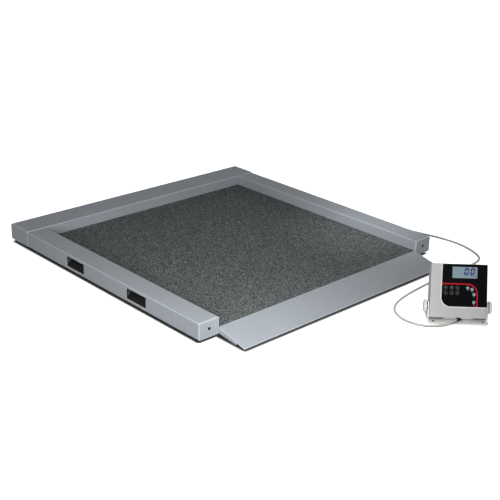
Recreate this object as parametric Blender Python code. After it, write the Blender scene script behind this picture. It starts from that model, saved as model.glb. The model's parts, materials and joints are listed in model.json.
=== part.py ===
"""Low-profile floor scale for weighing animals, with a separate display unit on a cable.

A flat deck with a rubber mat lies between two hollow side beams and a hollow back beam, and a
fixed ramp leads up to it at the front. Four load cells sit in the side beams and stand on
levelling feet. The left beam has two hand slots and the right beam two transport wheels, so one
person can tip the deck up and roll it away. The display unit tilts in a U-shaped bracket between
two clamp knobs.

Lengths are in metres, +Z is up, and the floor is at z = 0. Platform shapes are drawn in a frame
whose y = 0 is the front end of the side beams. The ramp lies on the -Y side.
"""

import math

import bmesh
import bpy
from mathutils import Vector

# --- Driving dimensions of the platform -------------------------------------------------------
GAP = 0.0003  # clearance between neighbouring pieces
CUT = 0.004  # how far a cutter reaches past the surface that it opens
LAP = 0.001  # how far shapes joined into one piece overlap
WIDTH = 0.9144
SIDE_BEAM_WIDTH = 0.0647
BEAM_BOTTOM = 0.0098
BEAM_TOP = 0.0566
BEAM_WALL = 0.003
BEAM_EDGE_RADIUS = 0.0025
BACK_BEAM_FRONT = 0.7910
BACK_BEAM_BACK = 0.8835
BACK_BEAM_TOP = 0.0582
BACK_BEAM_EDGE_RADIUS = 0.005
CAP_THICKNESS = 0.003
CAP_HOLE_RADIUS = 0.0034
CAP_HOLE_HEIGHT = 0.0342

MAT_TOP = 0.0256
MAT_THICKNESS = 0.003
DECK_THICKNESS = 0.004
DECK_RIB_BOTTOM = 0.0115
DECK_RIB_WIDTH = 0.030
DECK_RIBS = 7
DECK_FRONT = 0.0045

RAMP_HALF_WIDTH = 0.3914
RAMP_TIP_Y = -0.0949
RAMP_TIP_TOP = 0.0038
RAMP_SHEET = 0.0023
RAMP_FLANGE_BOTTOM = 0.0115
RAMP_FLANGE_SHEET = 0.003
RAMP_CHEEK_END = -0.0623
RAMP_CHEEK_BOTTOM = 0.0024
RAMP_CHEEK_SHEET = 0.0025
RAMP_CHEEK_INSET = 0.0002

# --- Hand slots in the left beam ---------------------------------------------------------------
HAND_SLOT_CENTRES = {"front": 0.2564, "back": 0.5389}
HAND_SLOT_LENGTH = 0.083
HAND_SLOT_BOTTOM = 0.0186
HAND_SLOT_TOP = 0.0497
HAND_CUP_DEPTH = 0.036
HAND_CUP_WALL = 0.002
HAND_CUP_SLOPE = 0.014
HAND_CUP_SILL = 0.001
HAND_CUP_INSET = 0.0005

# --- Load cells and feet -----------------------------------------------------------------------
# A cell's places are lengths along its beam, from its levelling foot towards the deck's middle.
FOOT_FROM_FRONT = 0.055
FOOT_FROM_BACK_BEAM = 0.056
PAD_RADIUS = 0.017
PAD_RIM = 0.0035
PAD_SLOPE = 0.003
PAD_HEIGHT = 0.006
STUD_RADIUS = 0.005
STUD_COLLAR_RADIUS = 0.0085
STUD_COLLAR_HEIGHT = 0.003
STUD_TOP = 0.041
FOOT_HOLE_RADIUS = 0.012
CELL_WIDTH = 0.028
CELL_BOTTOM = 0.021
CELL_HEIGHT = 0.022
CELL_NEAR_END = -0.017
CELL_FAR_END = 0.093
CELL_BOSS_START = 0.053
CELL_GAUGE_PLACE = 0.031
CELL_GAUGE_RADIUS = 0.007

# --- Transport wheels in the right beam --------------------------------------------------------
WHEEL_RADIUS = 0.020
WHEEL_WIDTH = 0.016
WHEEL_HEIGHT = 0.024
WHEEL_PROUD = 0.006
WHEEL_BORE = 0.0043
AXLE_RADIUS = 0.004
WHEEL_ROUNDING = 0.002
WHEEL_SEGMENTS = 24
POCKET_CLEARANCE = 0.003
FORK_GAP = 0.0006
FORK_SHEET = 0.0019
FORK_CHEEK = ((-0.009, -0.009), (0.009, -0.009), (0.007, None), (-0.012, None))
FORK_WEB = (-0.0115, 0.0065)
FORK_WEB_SHEET = 0.0027
WHEEL_CENTRES = {"front": 0.0225, "back": 0.7715}

# --- Junction box, gland and cable -------------------------------------------------------------
JUNCTION_LENGTH = 0.110
JUNCTION_WIDTH = 0.050
JUNCTION_BOTTOM = 0.0145
JUNCTION_HEIGHT = 0.026
JUNCTION_WALL = 0.0025
JUNCTION_LID = 0.003
JUNCTION_FROM_WALL = 0.0027
BOARD_THICKNESS = 0.0016
BOARD_MARGIN = (0.001, 0.002)
CABLE_EXIT_Y = 0.215
CABLE_EXIT_Z = 0.028
GLAND_THREAD_RADIUS = 0.007
GLAND_NUT = ((0.0105, GAP), (0.0105, 0.005), (0.0092, 0.006), (0.0092, 0.015))
GLAND_TIP_RADIUS = 0.0055
GLAND_REACH = 0.0208
CABLE_RADIUS = 0.00325
CABLE_ON_FLOOR = CABLE_RADIUS + GAP
LEAD_RADIUS = 0.0022
LEAD_HEIGHT = 0.031
LEAD_SIDE_X = 0.4035
LEAD_HOLE_RADIUS = 0.0042
LEAD_BEND = 0.020
LEAD_IN_BACK_BEAM = 0.040
LEAD_FROM_BOX_EDGE = 0.008

# --- Display unit: place, bracket and case -------------------------------------------------------
UNIT_FRONT_CENTRE = (0.1290, -0.3532)
UNIT_TURN = math.radians(-44.2)
BRACKET_HALF_WIDTH = 0.0790
BRACKET_SHEET = 0.0028
BRACKET_DEPTH = 0.084
BRACKET_CORNER = 0.012
BRACKET_SCREW_RADIUS = 0.0022
BRACKET_SCREW_SIDE = 0.0652
BRACKET_SCREW_FROM_EDGE = 0.0144
ARM_RADIUS = 0.014
ARM_FOOT_HALF = 0.022
TILT_AXIS_BACK = 0.042
TILT_AXIS_HEIGHT = 0.0332
LEAN_BACK = math.radians(22.0)

# Case shapes are drawn about the tilt axis: x to the right, y from the face to the back, z up.
CASE_HALF_WIDTH = 0.0752
CASE_TOP_TAPER = 0.026
CASE_FACE = -0.0173
CASE_BACK = 0.0226
CASE_BOTTOM = -0.0289
CASE_TOP = 0.1127
CASE_SEAM = 0.0076
CASE_WALL = 0.0025
CASE_EDGE = 0.0015
CASE_BACK_LOW = 0.0003
CASE_BACK_HIGH = 0.0743
CASE_BACK_STEP = (0.0032, 0.0043)
CASE_BACK_TOP_DEPTH = 0.0042
CHIN_BLOCK_HALF_WIDTH = 0.038
CHIN_BLOCK_BOTTOM = -0.0312
CHIN_BLOCK_BACK = -0.0020
CHIN_BLOCK_SETBACK = 0.0009

OVERLAY_LEFT = -0.0459
OVERLAY_BOTTOM = 0.0007
OVERLAY_POCKET = 0.0012
OVERLAY_SHEET = 0.0008
OVERLAY_CORNER = 0.024
OVERLAY_MARGIN = 0.0006
DISPLAY_LEFT = -0.0184
DISPLAY_RIGHT = 0.0460
DISPLAY_BOTTOM = 0.0762
DISPLAY_TOP = 0.1050
WINDOW_LEDGE = 0.0018
GLASS_THICKNESS = 0.004
GLASS_OVERLAP = (0.005, 0.004)
MAIN_BOARD_LOW = (-0.066, -0.0175)
MAIN_BOARD_HIGH = (0.066, 0.1085)

KEY_PROUD = 0.0004
KEY_CAP = 0.0009
KEY_EDGE = 0.0004
KEY_STEM_RADIUS = 0.0024
KEY_LENGTH = 0.0052
DARK_KEY_RADIUS = 0.0055
GREY_KEY_RADIUS = 0.0042
DARK_KEY_COLUMNS = (-0.0350, -0.0196, -0.0043)
DARK_KEY_ROWS = (0.0503, 0.0367)
GREY_KEY_CENTRES = ((0.0225, 0.0507), (0.0338, 0.0471), (0.0392, 0.0339), (0.0394, 0.0133))

DOOR_HALF_WIDTH = 0.0350
DOOR_BOTTOM = 0.0163
DOOR_TOP = 0.0663
DOOR_SHEET = 0.0018
DOOR_LEDGE = 0.0040
PACK_HALF_WIDTH = 0.0285
PACK_FRONT = 0.0036
PACK_MARGIN = 0.0060
PACK_DEPTH_LEFT = 0.0040

KNOB_RADIUS = 0.0177
KNOB_LOBES = 6
KNOB_LOBE_STEPS = 7
KNOB_LOBE_DEPTH = 0.05
KNOB_THICKNESS = 0.0065
HUB_RADIUS = 0.0102
HUB_THICKNESS = 0.0022
KNOB_STUD_RADIUS = 0.0034
KNOB_STUD_START = 0.062

# The cable's entry into the display unit, about the tilt axis, with the unit at rest.
ENTRY_AT = (-0.0055, -0.0212, -0.0343)
ENTRY_LENGTH = 0.022
ENTRY_ROOT_LENGTH = 0.008
ENTRY_ROOT_RADIUS = 0.0048
ENTRY_TIP_RADIUS = 0.0041

# The cable's way over the floor, from the platform's gland to the display unit. The third number
# is the height of its centre.
CABLE_ROUTE = (
    (0.494, 0.2150, 0.0272),
    (0.514, 0.2100, 0.0215),
    (0.532, 0.1970, 0.0135),
    (0.547, 0.1780, 0.0072),
    (0.559, 0.1500, CABLE_ON_FLOOR),
    (0.568, 0.1180, CABLE_ON_FLOOR),
    (0.581, 0.0640, CABLE_ON_FLOOR),
    (0.588, 0.0080, CABLE_ON_FLOOR),
    (0.583, -0.0450, CABLE_ON_FLOOR),
    (0.564, -0.0960, CABLE_ON_FLOOR),
    (0.540, -0.1270, CABLE_ON_FLOOR),
    (0.502, -0.1400, CABLE_ON_FLOOR),
    (0.440, -0.1420, CABLE_ON_FLOOR),
    (0.360, -0.1400, CABLE_ON_FLOOR),
    (0.284, -0.1410, CABLE_ON_FLOOR),
    (0.219, -0.1460, CABLE_ON_FLOOR),
    (0.170, -0.1510, CABLE_ON_FLOOR),
    (0.128, -0.1590, CABLE_ON_FLOOR),
    (0.090, -0.1730, CABLE_ON_FLOOR),
    (0.060, -0.1960, CABLE_ON_FLOOR),
    (0.042, -0.2300, CABLE_ON_FLOOR),
    (0.039, -0.2640, CABLE_ON_FLOOR),
    (0.050, -0.2980, CABLE_ON_FLOOR),
    (0.072, -0.3220, CABLE_ON_FLOOR),
    (0.098, -0.3372, 0.0050),
    (0.117, -0.3421, 0.0088),
)
CABLE_STEP = 0.0165
CURVE_SAMPLES = 40

SIDES = {"left": -1, "right": 1}
ENDS = ("front", "back")


# --- Materials -----------------------------------------------------------------------------------
def make_material(name, colour, roughness, metallic=0.0):
    """A Principled material of one colour."""
    material = bpy.data.materials.new(name)
    material.use_nodes = True
    shader = material.node_tree.nodes["Principled BSDF"]
    shader.inputs["Base Color"].default_value = (*colour, 1.0)
    shader.inputs["Roughness"].default_value = roughness
    shader.inputs["Metallic"].default_value = metallic
    return material


def make_materials():
    """Every material of the scale, by name."""
    finishes = {
        "painted_steel": ((0.34, 0.37, 0.41), 0.42, 0.35),
        "ribbed_mat": ((0.065, 0.075, 0.073), 0.85, 0.0),
        "black_plastic": ((0.02, 0.02, 0.021), 0.5, 0.0),
        "grey_shell": ((0.58, 0.57, 0.56), 0.45, 0.0),
        "white_bracket": ((0.72, 0.72, 0.72), 0.4, 0.0),
        "overlay_film": ((0.012, 0.012, 0.014), 0.22, 0.0),
        "display_lens": ((0.36, 0.47, 0.55), 0.12, 0.0),
        "display_glass": ((0.28, 0.36, 0.42), 0.3, 0.0),
        "dark_key": ((0.03, 0.03, 0.033), 0.35, 0.0),
        "grey_key": ((0.33, 0.36, 0.40), 0.35, 0.0),
        "clear_knob": ((0.75, 0.76, 0.80), 0.25, 0.0),
        "dark_hub": ((0.02, 0.03, 0.06), 0.4, 0.0),
        "zinc_steel": ((0.55, 0.55, 0.56), 0.3, 1.0),
        "cell_aluminium": ((0.62, 0.63, 0.65), 0.35, 1.0),
        "black_rubber": ((0.02, 0.02, 0.02), 0.8, 0.0),
        "circuit_board": ((0.02, 0.14, 0.06), 0.5, 0.0),
        "battery_wrap": ((0.05, 0.09, 0.22), 0.5, 0.0),
        "cable_jacket": ((0.55, 0.54, 0.49), 0.5, 0.0),
        "lead_jacket": ((0.25, 0.25, 0.26), 0.5, 0.0),
    }
    return {name: make_material(name, *finish) for name, finish in finishes.items()}


# --- Shapes --------------------------------------------------------------------------------------
def to_mesh(name, shape):
    """A mesh from a bmesh, with outward normals."""
    bmesh.ops.recalc_face_normals(shape, faces=shape.faces)
    mesh = bpy.data.meshes.new(name)
    shape.to_mesh(mesh)
    shape.free()
    return mesh


def rounded(corners, radius, steps=3):
    """The outline through 2-D corners, each one turned into an arc. radius is one number or a list."""
    radii = radius if isinstance(radius, (list, tuple)) else [radius] * len(corners)
    outline = []
    for index, corner in enumerate(corners):
        here = Vector(corner)
        before = (Vector(corners[index - 1]) - here).normalized()
        after = (Vector(corners[(index + 1) % len(corners)]) - here).normalized()
        if radii[index] <= 0:
            outline.append(tuple(here))
            continue
        half = before.angle(after) / 2
        reach = radii[index] / math.tan(half)
        centre = here + (before + after).normalized() * (radii[index] / math.sin(half))
        start = here + before * reach - centre
        turn = start.angle_signed(here + after * reach - centre)
        for step in range(steps + 1):
            angle = -turn * step / steps
            cosine, sine = math.cos(angle), math.sin(angle)
            outline.append(
                (
                    centre.x + start.x * cosine - start.y * sine,
                    centre.y + start.x * sine + start.y * cosine,
                )
            )
    return outline


def rectangle(low_u, low_v, high_u, high_v):
    """The four corners of a rectangle."""
    return [(low_u, low_v), (high_u, low_v), (high_u, high_v), (low_u, high_v)]


def prism(name, outline, along, start, end):
    """An outline extruded along an axis. Its 2-D points are the other two axes, in X, Y, Z order."""
    place = {
        "x": lambda u, v: (start, u, v),
        "y": lambda u, v: (u, start, v),
        "z": lambda u, v: (u, v, start),
    }[along]
    shape = bmesh.new()
    face = shape.faces.new([shape.verts.new(place(u, v)) for u, v in outline])
    moved = bmesh.ops.extrude_face_region(shape, geom=[face])
    step = Vector([end - start if axis == along else 0.0 for axis in "xyz"])
    verts = [item for item in moved["geom"] if isinstance(item, bmesh.types.BMVert)]
    bmesh.ops.translate(shape, verts=verts, vec=step)
    return to_mesh(name, shape)


def block(name, low, high):
    """A box between two opposite corners."""
    return prism(name, rectangle(low[0], low[1], high[0], high[1]), "z", low[2], high[2])


def turned(name, profile, segments=16, along="z"):
    """A solid of revolution. The profile's points are (radius, place along the axis)."""
    shape = bmesh.new()
    rings = []
    for radius, height in profile:
        if radius == 0:
            rings.append([shape.verts.new((0, 0, height))])
            continue
        angles = [2 * math.pi * step / segments for step in range(segments)]
        rings.append(
            [shape.verts.new((radius * math.cos(a), radius * math.sin(a), height)) for a in angles]
        )
    closed = profile[0][0] > 0
    pairs = list(zip(rings, rings[1:])) + ([(rings[-1], rings[0])] if closed else [])
    for lower, upper in pairs:
        for step in range(segments):
            after = (step + 1) % segments
            corners = [lower[step % len(lower)], lower[after % len(lower)]]
            corners += [upper[after % len(upper)], upper[step % len(upper)]]
            shape.faces.new(list(dict.fromkeys(corners)))
    return from_z(to_mesh(name, shape), along)


def from_z(mesh, along):
    """Turns a mesh drawn along Z so that its axis lies along X or Y."""
    for vertex in mesh.vertices:
        x, y, z = vertex.co
        if along == "x":
            vertex.co = (z, x, y)
        if along == "y":
            vertex.co = (y, z, x)
    return mesh


def rod(name, radius, start, end, along="z", segments=16):
    """A plain cylinder between two places on its axis."""
    return turned(name, [(0, start), (radius, start), (radius, end), (0, end)], segments, along)


def joined(name, meshes):
    """One mesh from several, used for cutters that make more than one hole."""
    shape = bmesh.new()
    for mesh in meshes:
        shape.from_mesh(mesh)
    return to_mesh(name, shape)


def shifted(mesh, offset):
    """The mesh, moved by an offset."""
    for vertex in mesh.vertices:
        vertex.co += Vector(offset)
    return mesh


# --- Objects -------------------------------------------------------------------------------------
class Builder:
    """Makes the scale's objects under one root, which is moved to set the frame's origin."""

    def __init__(self):
        self.materials = make_materials()
        self.root = self.empty("scale_frame", None)
        self.nodes = []

    def empty(self, name, parent, location=(0, 0, 0), rotation=(0, 0, 0), order="XYZ"):
        """An empty that places its children."""
        holder = bpy.data.objects.new(name, None)
        holder.empty_display_size = 0.02
        holder.rotation_mode = order
        holder.location = location
        holder.rotation_euler = rotation
        holder.parent = parent
        bpy.context.scene.collection.objects.link(holder)
        return holder

    def add(self, name, mesh, material, parent=None, location=(0, 0, 0), rotation=(0, 0, 0)):
        """A named piece with its material."""
        piece = bpy.data.objects.new(name, mesh)
        if not mesh.materials:
            mesh.materials.append(self.materials[material])
        piece.parent = parent or self.root
        piece.location = location
        piece.rotation_euler = rotation
        bpy.context.scene.collection.objects.link(piece)
        self.nodes.append(piece)
        return piece

    def smooth(self, piece, angle=math.radians(35)):
        """Smooth shading with sharp edges kept."""
        if piece.type == "MESH":
            piece.data.shade_smooth()
            piece.data.set_sharp_from_angle(angle=angle)

    def carve(self, piece, name, mesh, operation="DIFFERENCE", frame=None):
        """Cuts a shape out of a piece, or joins it on. It is drawn in the piece's frame or the given one."""
        tool = bpy.data.objects.new(name, mesh)
        tool.parent = frame or piece
        tool.hide_render = True
        tool.display_type = "WIRE"
        bpy.context.scene.collection.objects.link(tool)
        change = piece.modifiers.new(name, "BOOLEAN")
        change.operation = operation
        change.solver = "EXACT"
        change.object = tool


def side_beam_span(side):
    """The low and high x of a side beam."""
    outer, inner = WIDTH / 2, WIDTH / 2 - SIDE_BEAM_WIDTH
    return (-outer, -inner) if side == "left" else (inner, outer)


def beam_centre(side):
    """The x of a side beam's middle."""
    return sum(side_beam_span(side)) / 2


def foot_y(end):
    """The y of the feet at one end of the deck."""
    return FOOT_FROM_FRONT if end == "front" else BACK_BEAM_FRONT - FOOT_FROM_BACK_BEAM


def build_side_beams(builder):
    """The two hollow side beams, with their front caps."""
    for side in SIDES:
        low, high = side_beam_span(side)
        section = rounded(rectangle(low, BEAM_BOTTOM, high, BEAM_TOP), BEAM_EDGE_RADIUS, 2)
        start, end = CAP_THICKNESS + GAP, BACK_BEAM_FRONT - GAP
        name = f"{side}_side_beam"
        beam = builder.add(name, prism(name, section, "y", start, end), "painted_steel")
        core = rectangle(low + BEAM_WALL, BEAM_BOTTOM + BEAM_WALL, high - BEAM_WALL, BEAM_TOP - BEAM_WALL)
        builder.carve(beam, f"{side}_core", prism("core", core, "y", 0, BACK_BEAM_FRONT + CUT))
        holes = [
            shifted(rod("hole", FOOT_HOLE_RADIUS, 0, CELL_BOTTOM), (beam_centre(side), foot_y(end_name), 0))
            for end_name in ENDS
        ]
        builder.carve(beam, f"{side}_foot_holes", joined("holes", holes))
        if side == "left":
            cut_hand_slots(builder, beam, low)
        else:
            cut_wheel_pockets(builder, beam, high)
            gland_hole = rod("hole", GLAND_THREAD_RADIUS + GAP, high - BEAM_WALL - CUT, high + CUT, "x")
            shifted(gland_hole, (0, CABLE_EXIT_Y, CABLE_EXIT_Z))
            builder.carve(beam, "gland_hole", gland_hole)
        cap = builder.add(f"front_cap_{side}", prism("cap", section, "y", 0, CAP_THICKNESS), "painted_steel")
        hole = rod("hole", CAP_HOLE_RADIUS, -CUT, CAP_THICKNESS + CUT, "y", 20)
        builder.carve(cap, f"cap_hole_{side}", shifted(hole, (beam_centre(side), 0, CAP_HOLE_HEIGHT)))


def cut_hand_slots(builder, beam, outer_x):
    """The two openings in the left beam's outer wall."""
    slots = [
        block(
            "slot",
            (outer_x - CUT, centre - HAND_SLOT_LENGTH / 2, HAND_SLOT_BOTTOM),
            (outer_x + BEAM_WALL + CUT, centre + HAND_SLOT_LENGTH / 2, HAND_SLOT_TOP),
        )
        for centre in HAND_SLOT_CENTRES.values()
    ]
    builder.carve(beam, "hand_slots", joined("slots", slots))


def cut_wheel_pockets(builder, beam, outer_x):
    """The openings through which the wheels stand out of the right beam's lower outer edge."""
    half = WHEEL_WIDTH / 2 + POCKET_CLEARANCE
    inner_x = outer_x + WHEEL_PROUD - 2 * WHEEL_RADIUS - POCKET_CLEARANCE
    top = WHEEL_HEIGHT + WHEEL_RADIUS + POCKET_CLEARANCE
    pockets = [
        block("pocket", (inner_x, y - half, 0), (outer_x + CUT, y + half, top))
        for y in WHEEL_CENTRES.values()
    ]
    builder.carve(beam, "wheel_pockets", joined("pockets", pockets))


def build_back_beam(builder):
    """The hollow back beam, which runs over the full width, and its end caps."""
    section = rounded(
        rectangle(BACK_BEAM_FRONT, BEAM_BOTTOM, BACK_BEAM_BACK, BACK_BEAM_TOP),
        [BEAM_EDGE_RADIUS, BEAM_EDGE_RADIUS, BACK_BEAM_EDGE_RADIUS, BEAM_EDGE_RADIUS],
        3,
    )
    end = WIDTH / 2 - CAP_THICKNESS - GAP
    beam = builder.add("back_beam", prism("back_beam", section, "x", -end, end), "painted_steel")
    core = rectangle(
        BACK_BEAM_FRONT + BEAM_WALL,
        BEAM_BOTTOM + BEAM_WALL,
        BACK_BEAM_BACK - BEAM_WALL,
        BACK_BEAM_TOP - BEAM_WALL,
    )
    builder.carve(beam, "back_core", prism("core", core, "x", -WIDTH / 2, WIDTH / 2))
    start, stop = BACK_BEAM_FRONT - CUT, BACK_BEAM_FRONT + BEAM_WALL + CUT
    holes = [
        shifted(rod("hole", LEAD_HOLE_RADIUS, start, stop, "y", 12), (sign * LEAD_SIDE_X, 0, LEAD_HEIGHT))
        for sign in SIDES.values()
    ]
    builder.carve(beam, "lead_holes", joined("holes", holes))
    for side, sign in SIDES.items():
        low, high = sorted((sign * WIDTH / 2, sign * (WIDTH / 2 - CAP_THICKNESS)))
        builder.add(f"back_cap_{side}", prism("cap", section, "x", low, high), "painted_steel")


def build_deck(builder):
    """The deck plate with its ribs underneath, and the mat on it."""
    half = WIDTH / 2 - SIDE_BEAM_WIDTH - GAP
    back = BACK_BEAM_FRONT - GAP
    plate_top = MAT_TOP - MAT_THICKNESS - GAP
    plate_bottom = plate_top - DECK_THICKNESS
    comb = [(back, plate_top), (DECK_FRONT, plate_top)]
    pitch = (back - DECK_FRONT - DECK_RIB_WIDTH) / (DECK_RIBS - 1)
    for rib in range(DECK_RIBS):
        start = DECK_FRONT + rib * pitch
        comb.append((start, plate_bottom) if rib else (start, DECK_RIB_BOTTOM))
        if rib:
            comb.append((start, DECK_RIB_BOTTOM))
        comb.append((start + DECK_RIB_WIDTH, DECK_RIB_BOTTOM))
        if rib < DECK_RIBS - 1:
            comb.append((start + DECK_RIB_WIDTH, plate_bottom))
    builder.add("deck_plate", prism("deck_plate", comb, "x", -half, half), "painted_steel")
    mat = block("mat", (-half, DECK_FRONT, MAT_TOP - MAT_THICKNESS), (half, back, MAT_TOP))
    builder.add("deck_mat", mat, "ribbed_mat")


def build_ramp(builder):
    """The bent sheet ramp: a sloping plate, a flange behind it and a cheek at each end."""
    back = DECK_FRONT - GAP
    front_of_flange = back - RAMP_FLANGE_SHEET
    slope = (MAT_TOP - RAMP_TIP_TOP) / (back - RAMP_TIP_Y)

    def top_at(y):
        return RAMP_TIP_TOP + slope * (y - RAMP_TIP_Y)

    sheet = [
        (back, MAT_TOP),
        (RAMP_TIP_Y, RAMP_TIP_TOP),
        (RAMP_TIP_Y, RAMP_TIP_TOP - RAMP_SHEET),
        (front_of_flange, top_at(front_of_flange) - RAMP_SHEET),
        (front_of_flange, RAMP_FLANGE_BOTTOM),
        (back, RAMP_FLANGE_BOTTOM),
    ]
    ramp = builder.add(
        "ramp", prism("ramp", sheet, "x", -RAMP_HALF_WIDTH, RAMP_HALF_WIDTH), "painted_steel"
    )
    middle = RAMP_SHEET / 2
    cheek = [
        (front_of_flange + LAP, top_at(front_of_flange) - middle),
        (RAMP_CHEEK_END, top_at(RAMP_CHEEK_END) - middle),
        (RAMP_CHEEK_END, RAMP_CHEEK_BOTTOM),
        (front_of_flange + LAP, BEAM_BOTTOM),
    ]
    for side, sign in SIDES.items():
        outer = sign * (RAMP_HALF_WIDTH - RAMP_CHEEK_INSET)
        mesh = prism("cheek", cheek, "x", outer, outer - sign * RAMP_CHEEK_SHEET)
        builder.carve(ramp, f"ramp_cheek_{side}", mesh, "UNION")


def build_hand_cups(builder):
    """The moulded cups behind the hand slots. Their floor slopes up and inwards, for the fingers."""
    outer_x = -WIDTH / 2
    depth, wall = HAND_CUP_DEPTH, HAND_CUP_WALL
    low_z, high_z = HAND_SLOT_BOTTOM + GAP, HAND_SLOT_TOP - GAP
    for end, centre in HAND_SLOT_CENTRES.items():
        half = HAND_SLOT_LENGTH / 2 - GAP
        shell = [
            (outer_x + HAND_CUP_INSET, low_z),
            (outer_x + depth, low_z),
            (outer_x + depth, high_z),
            (outer_x + HAND_CUP_INSET, high_z),
        ]
        name = f"hand_cup_{end}"
        cup = builder.add(name, prism(name, shell, "y", centre - half, centre + half), "black_plastic")
        room = [
            (outer_x - CUT, low_z + HAND_CUP_SILL),
            (outer_x + HAND_CUP_INSET + LAP, low_z + HAND_CUP_SILL),
            (outer_x + HAND_CUP_SLOPE, low_z + HAND_CUP_SLOPE),
            (outer_x + depth - wall, low_z + HAND_CUP_SLOPE),
            (outer_x + depth - wall, high_z - wall),
            (outer_x - CUT, high_z - wall),
        ]
        side = half - wall
        builder.carve(cup, f"hand_room_{end}", prism("room", room, "y", centre - side, centre + side))


def build_cells_and_feet(builder):
    """A load cell near each corner, and the levelling foot that it stands on."""
    top = CELL_BOTTOM + CELL_HEIGHT
    boss_top = BEAM_TOP - BEAM_WALL - GAP
    profile = [
        (CELL_NEAR_END, CELL_BOTTOM),
        (CELL_FAR_END, CELL_BOTTOM),
        (CELL_FAR_END, boss_top),
        (CELL_BOSS_START, boss_top),
        (CELL_BOSS_START, top),
        (CELL_NEAR_END, top),
    ]
    pad_top = PAD_RADIUS - PAD_SLOPE
    pad = turned(
        "foot_pad", [(0, 0), (PAD_RADIUS, 0), (PAD_RADIUS, PAD_RIM), (pad_top, PAD_HEIGHT), (0, PAD_HEIGHT)]
    )
    collar_bottom = PAD_HEIGHT + GAP
    collar_top = collar_bottom + STUD_COLLAR_HEIGHT
    stud = turned(
        "foot_stud",
        [
            (0, collar_bottom),
            (STUD_COLLAR_RADIUS, collar_bottom),
            (STUD_COLLAR_RADIUS, collar_top),
            (STUD_RADIUS, collar_top),
            (STUD_RADIUS, STUD_TOP),
            (0, STUD_TOP),
        ],
    )
    for end in ENDS:
        for side in SIDES:
            corner = f"{end}_{side}"
            place = (beam_centre(side), foot_y(end), 0)
            turn = (0, 0, 0 if end == "front" else math.pi)
            bar = prism("load_cell", profile, "x", -CELL_WIDTH / 2, CELL_WIDTH / 2)
            cell = builder.add(f"load_cell_{corner}", bar, "cell_aluminium", None, place, turn)
            foot_hole = rod("hole", STUD_RADIUS + GAP, CELL_BOTTOM - CUT, top + CUT)
            builder.carve(cell, f"stud_hole_{corner}", foot_hole)
            gauge_hole = rod("hole", CELL_GAUGE_RADIUS, -CELL_WIDTH, CELL_WIDTH, "x")
            shifted(gauge_hole, (0, CELL_GAUGE_PLACE, CELL_BOTTOM + CELL_HEIGHT / 2))
            builder.carve(cell, f"gauge_hole_{corner}", gauge_hole)
            builder.smooth(builder.add(f"foot_stud_{corner}", stud, "zinc_steel", None, place))
            builder.smooth(builder.add(f"foot_pad_{corner}", pad, "black_rubber", None, place))


def build_wheels(builder):
    """The transport wheels and the forks that hold them in the right beam."""
    x = WIDTH / 2 + WHEEL_PROUD - WHEEL_RADIUS
    half = WHEEL_WIDTH / 2
    shoulder = half - WHEEL_ROUNDING
    tyre = turned(
        "wheel",
        [
            (WHEEL_BORE, -half),
            (WHEEL_RADIUS - WHEEL_ROUNDING, -half),
            (WHEEL_RADIUS, -shoulder),
            (WHEEL_RADIUS, shoulder),
            (WHEEL_RADIUS - WHEEL_ROUNDING, half),
            (WHEEL_BORE, half),
        ],
        WHEEL_SEGMENTS,
        "y",
    )
    top = BEAM_TOP - BEAM_WALL - GAP - WHEEL_HEIGHT
    corners = [(along, top if height is None else height) for along, height in FORK_CHEEK]
    cheek = rounded(corners, [0.006, 0.006, 0, 0], 3)
    inner = half + FORK_GAP
    for end, y in WHEEL_CENTRES.items():
        place = (x, y, WHEEL_HEIGHT)
        builder.smooth(builder.add(f"wheel_{end}", tyre, "black_rubber", None, place))
        pin = rod("pin", AXLE_RADIUS, -inner - FORK_SHEET / 2, inner + FORK_SHEET / 2, "y", 16)
        fork = builder.add(f"wheel_fork_{end}", pin, "zinc_steel", None, place)
        for side, sign in SIDES.items():
            mesh = prism("cheek", cheek, "y", sign * inner, sign * (inner + FORK_SHEET))
            builder.carve(fork, f"fork_cheek_{end}_{side}", mesh, "UNION")
        reach = inner + FORK_SHEET / 2
        web = block("web", (FORK_WEB[0], -reach, top - FORK_WEB_SHEET - GAP), (FORK_WEB[1], reach, top - GAP))
        builder.carve(fork, f"fork_web_{end}", web, "UNION")


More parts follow.
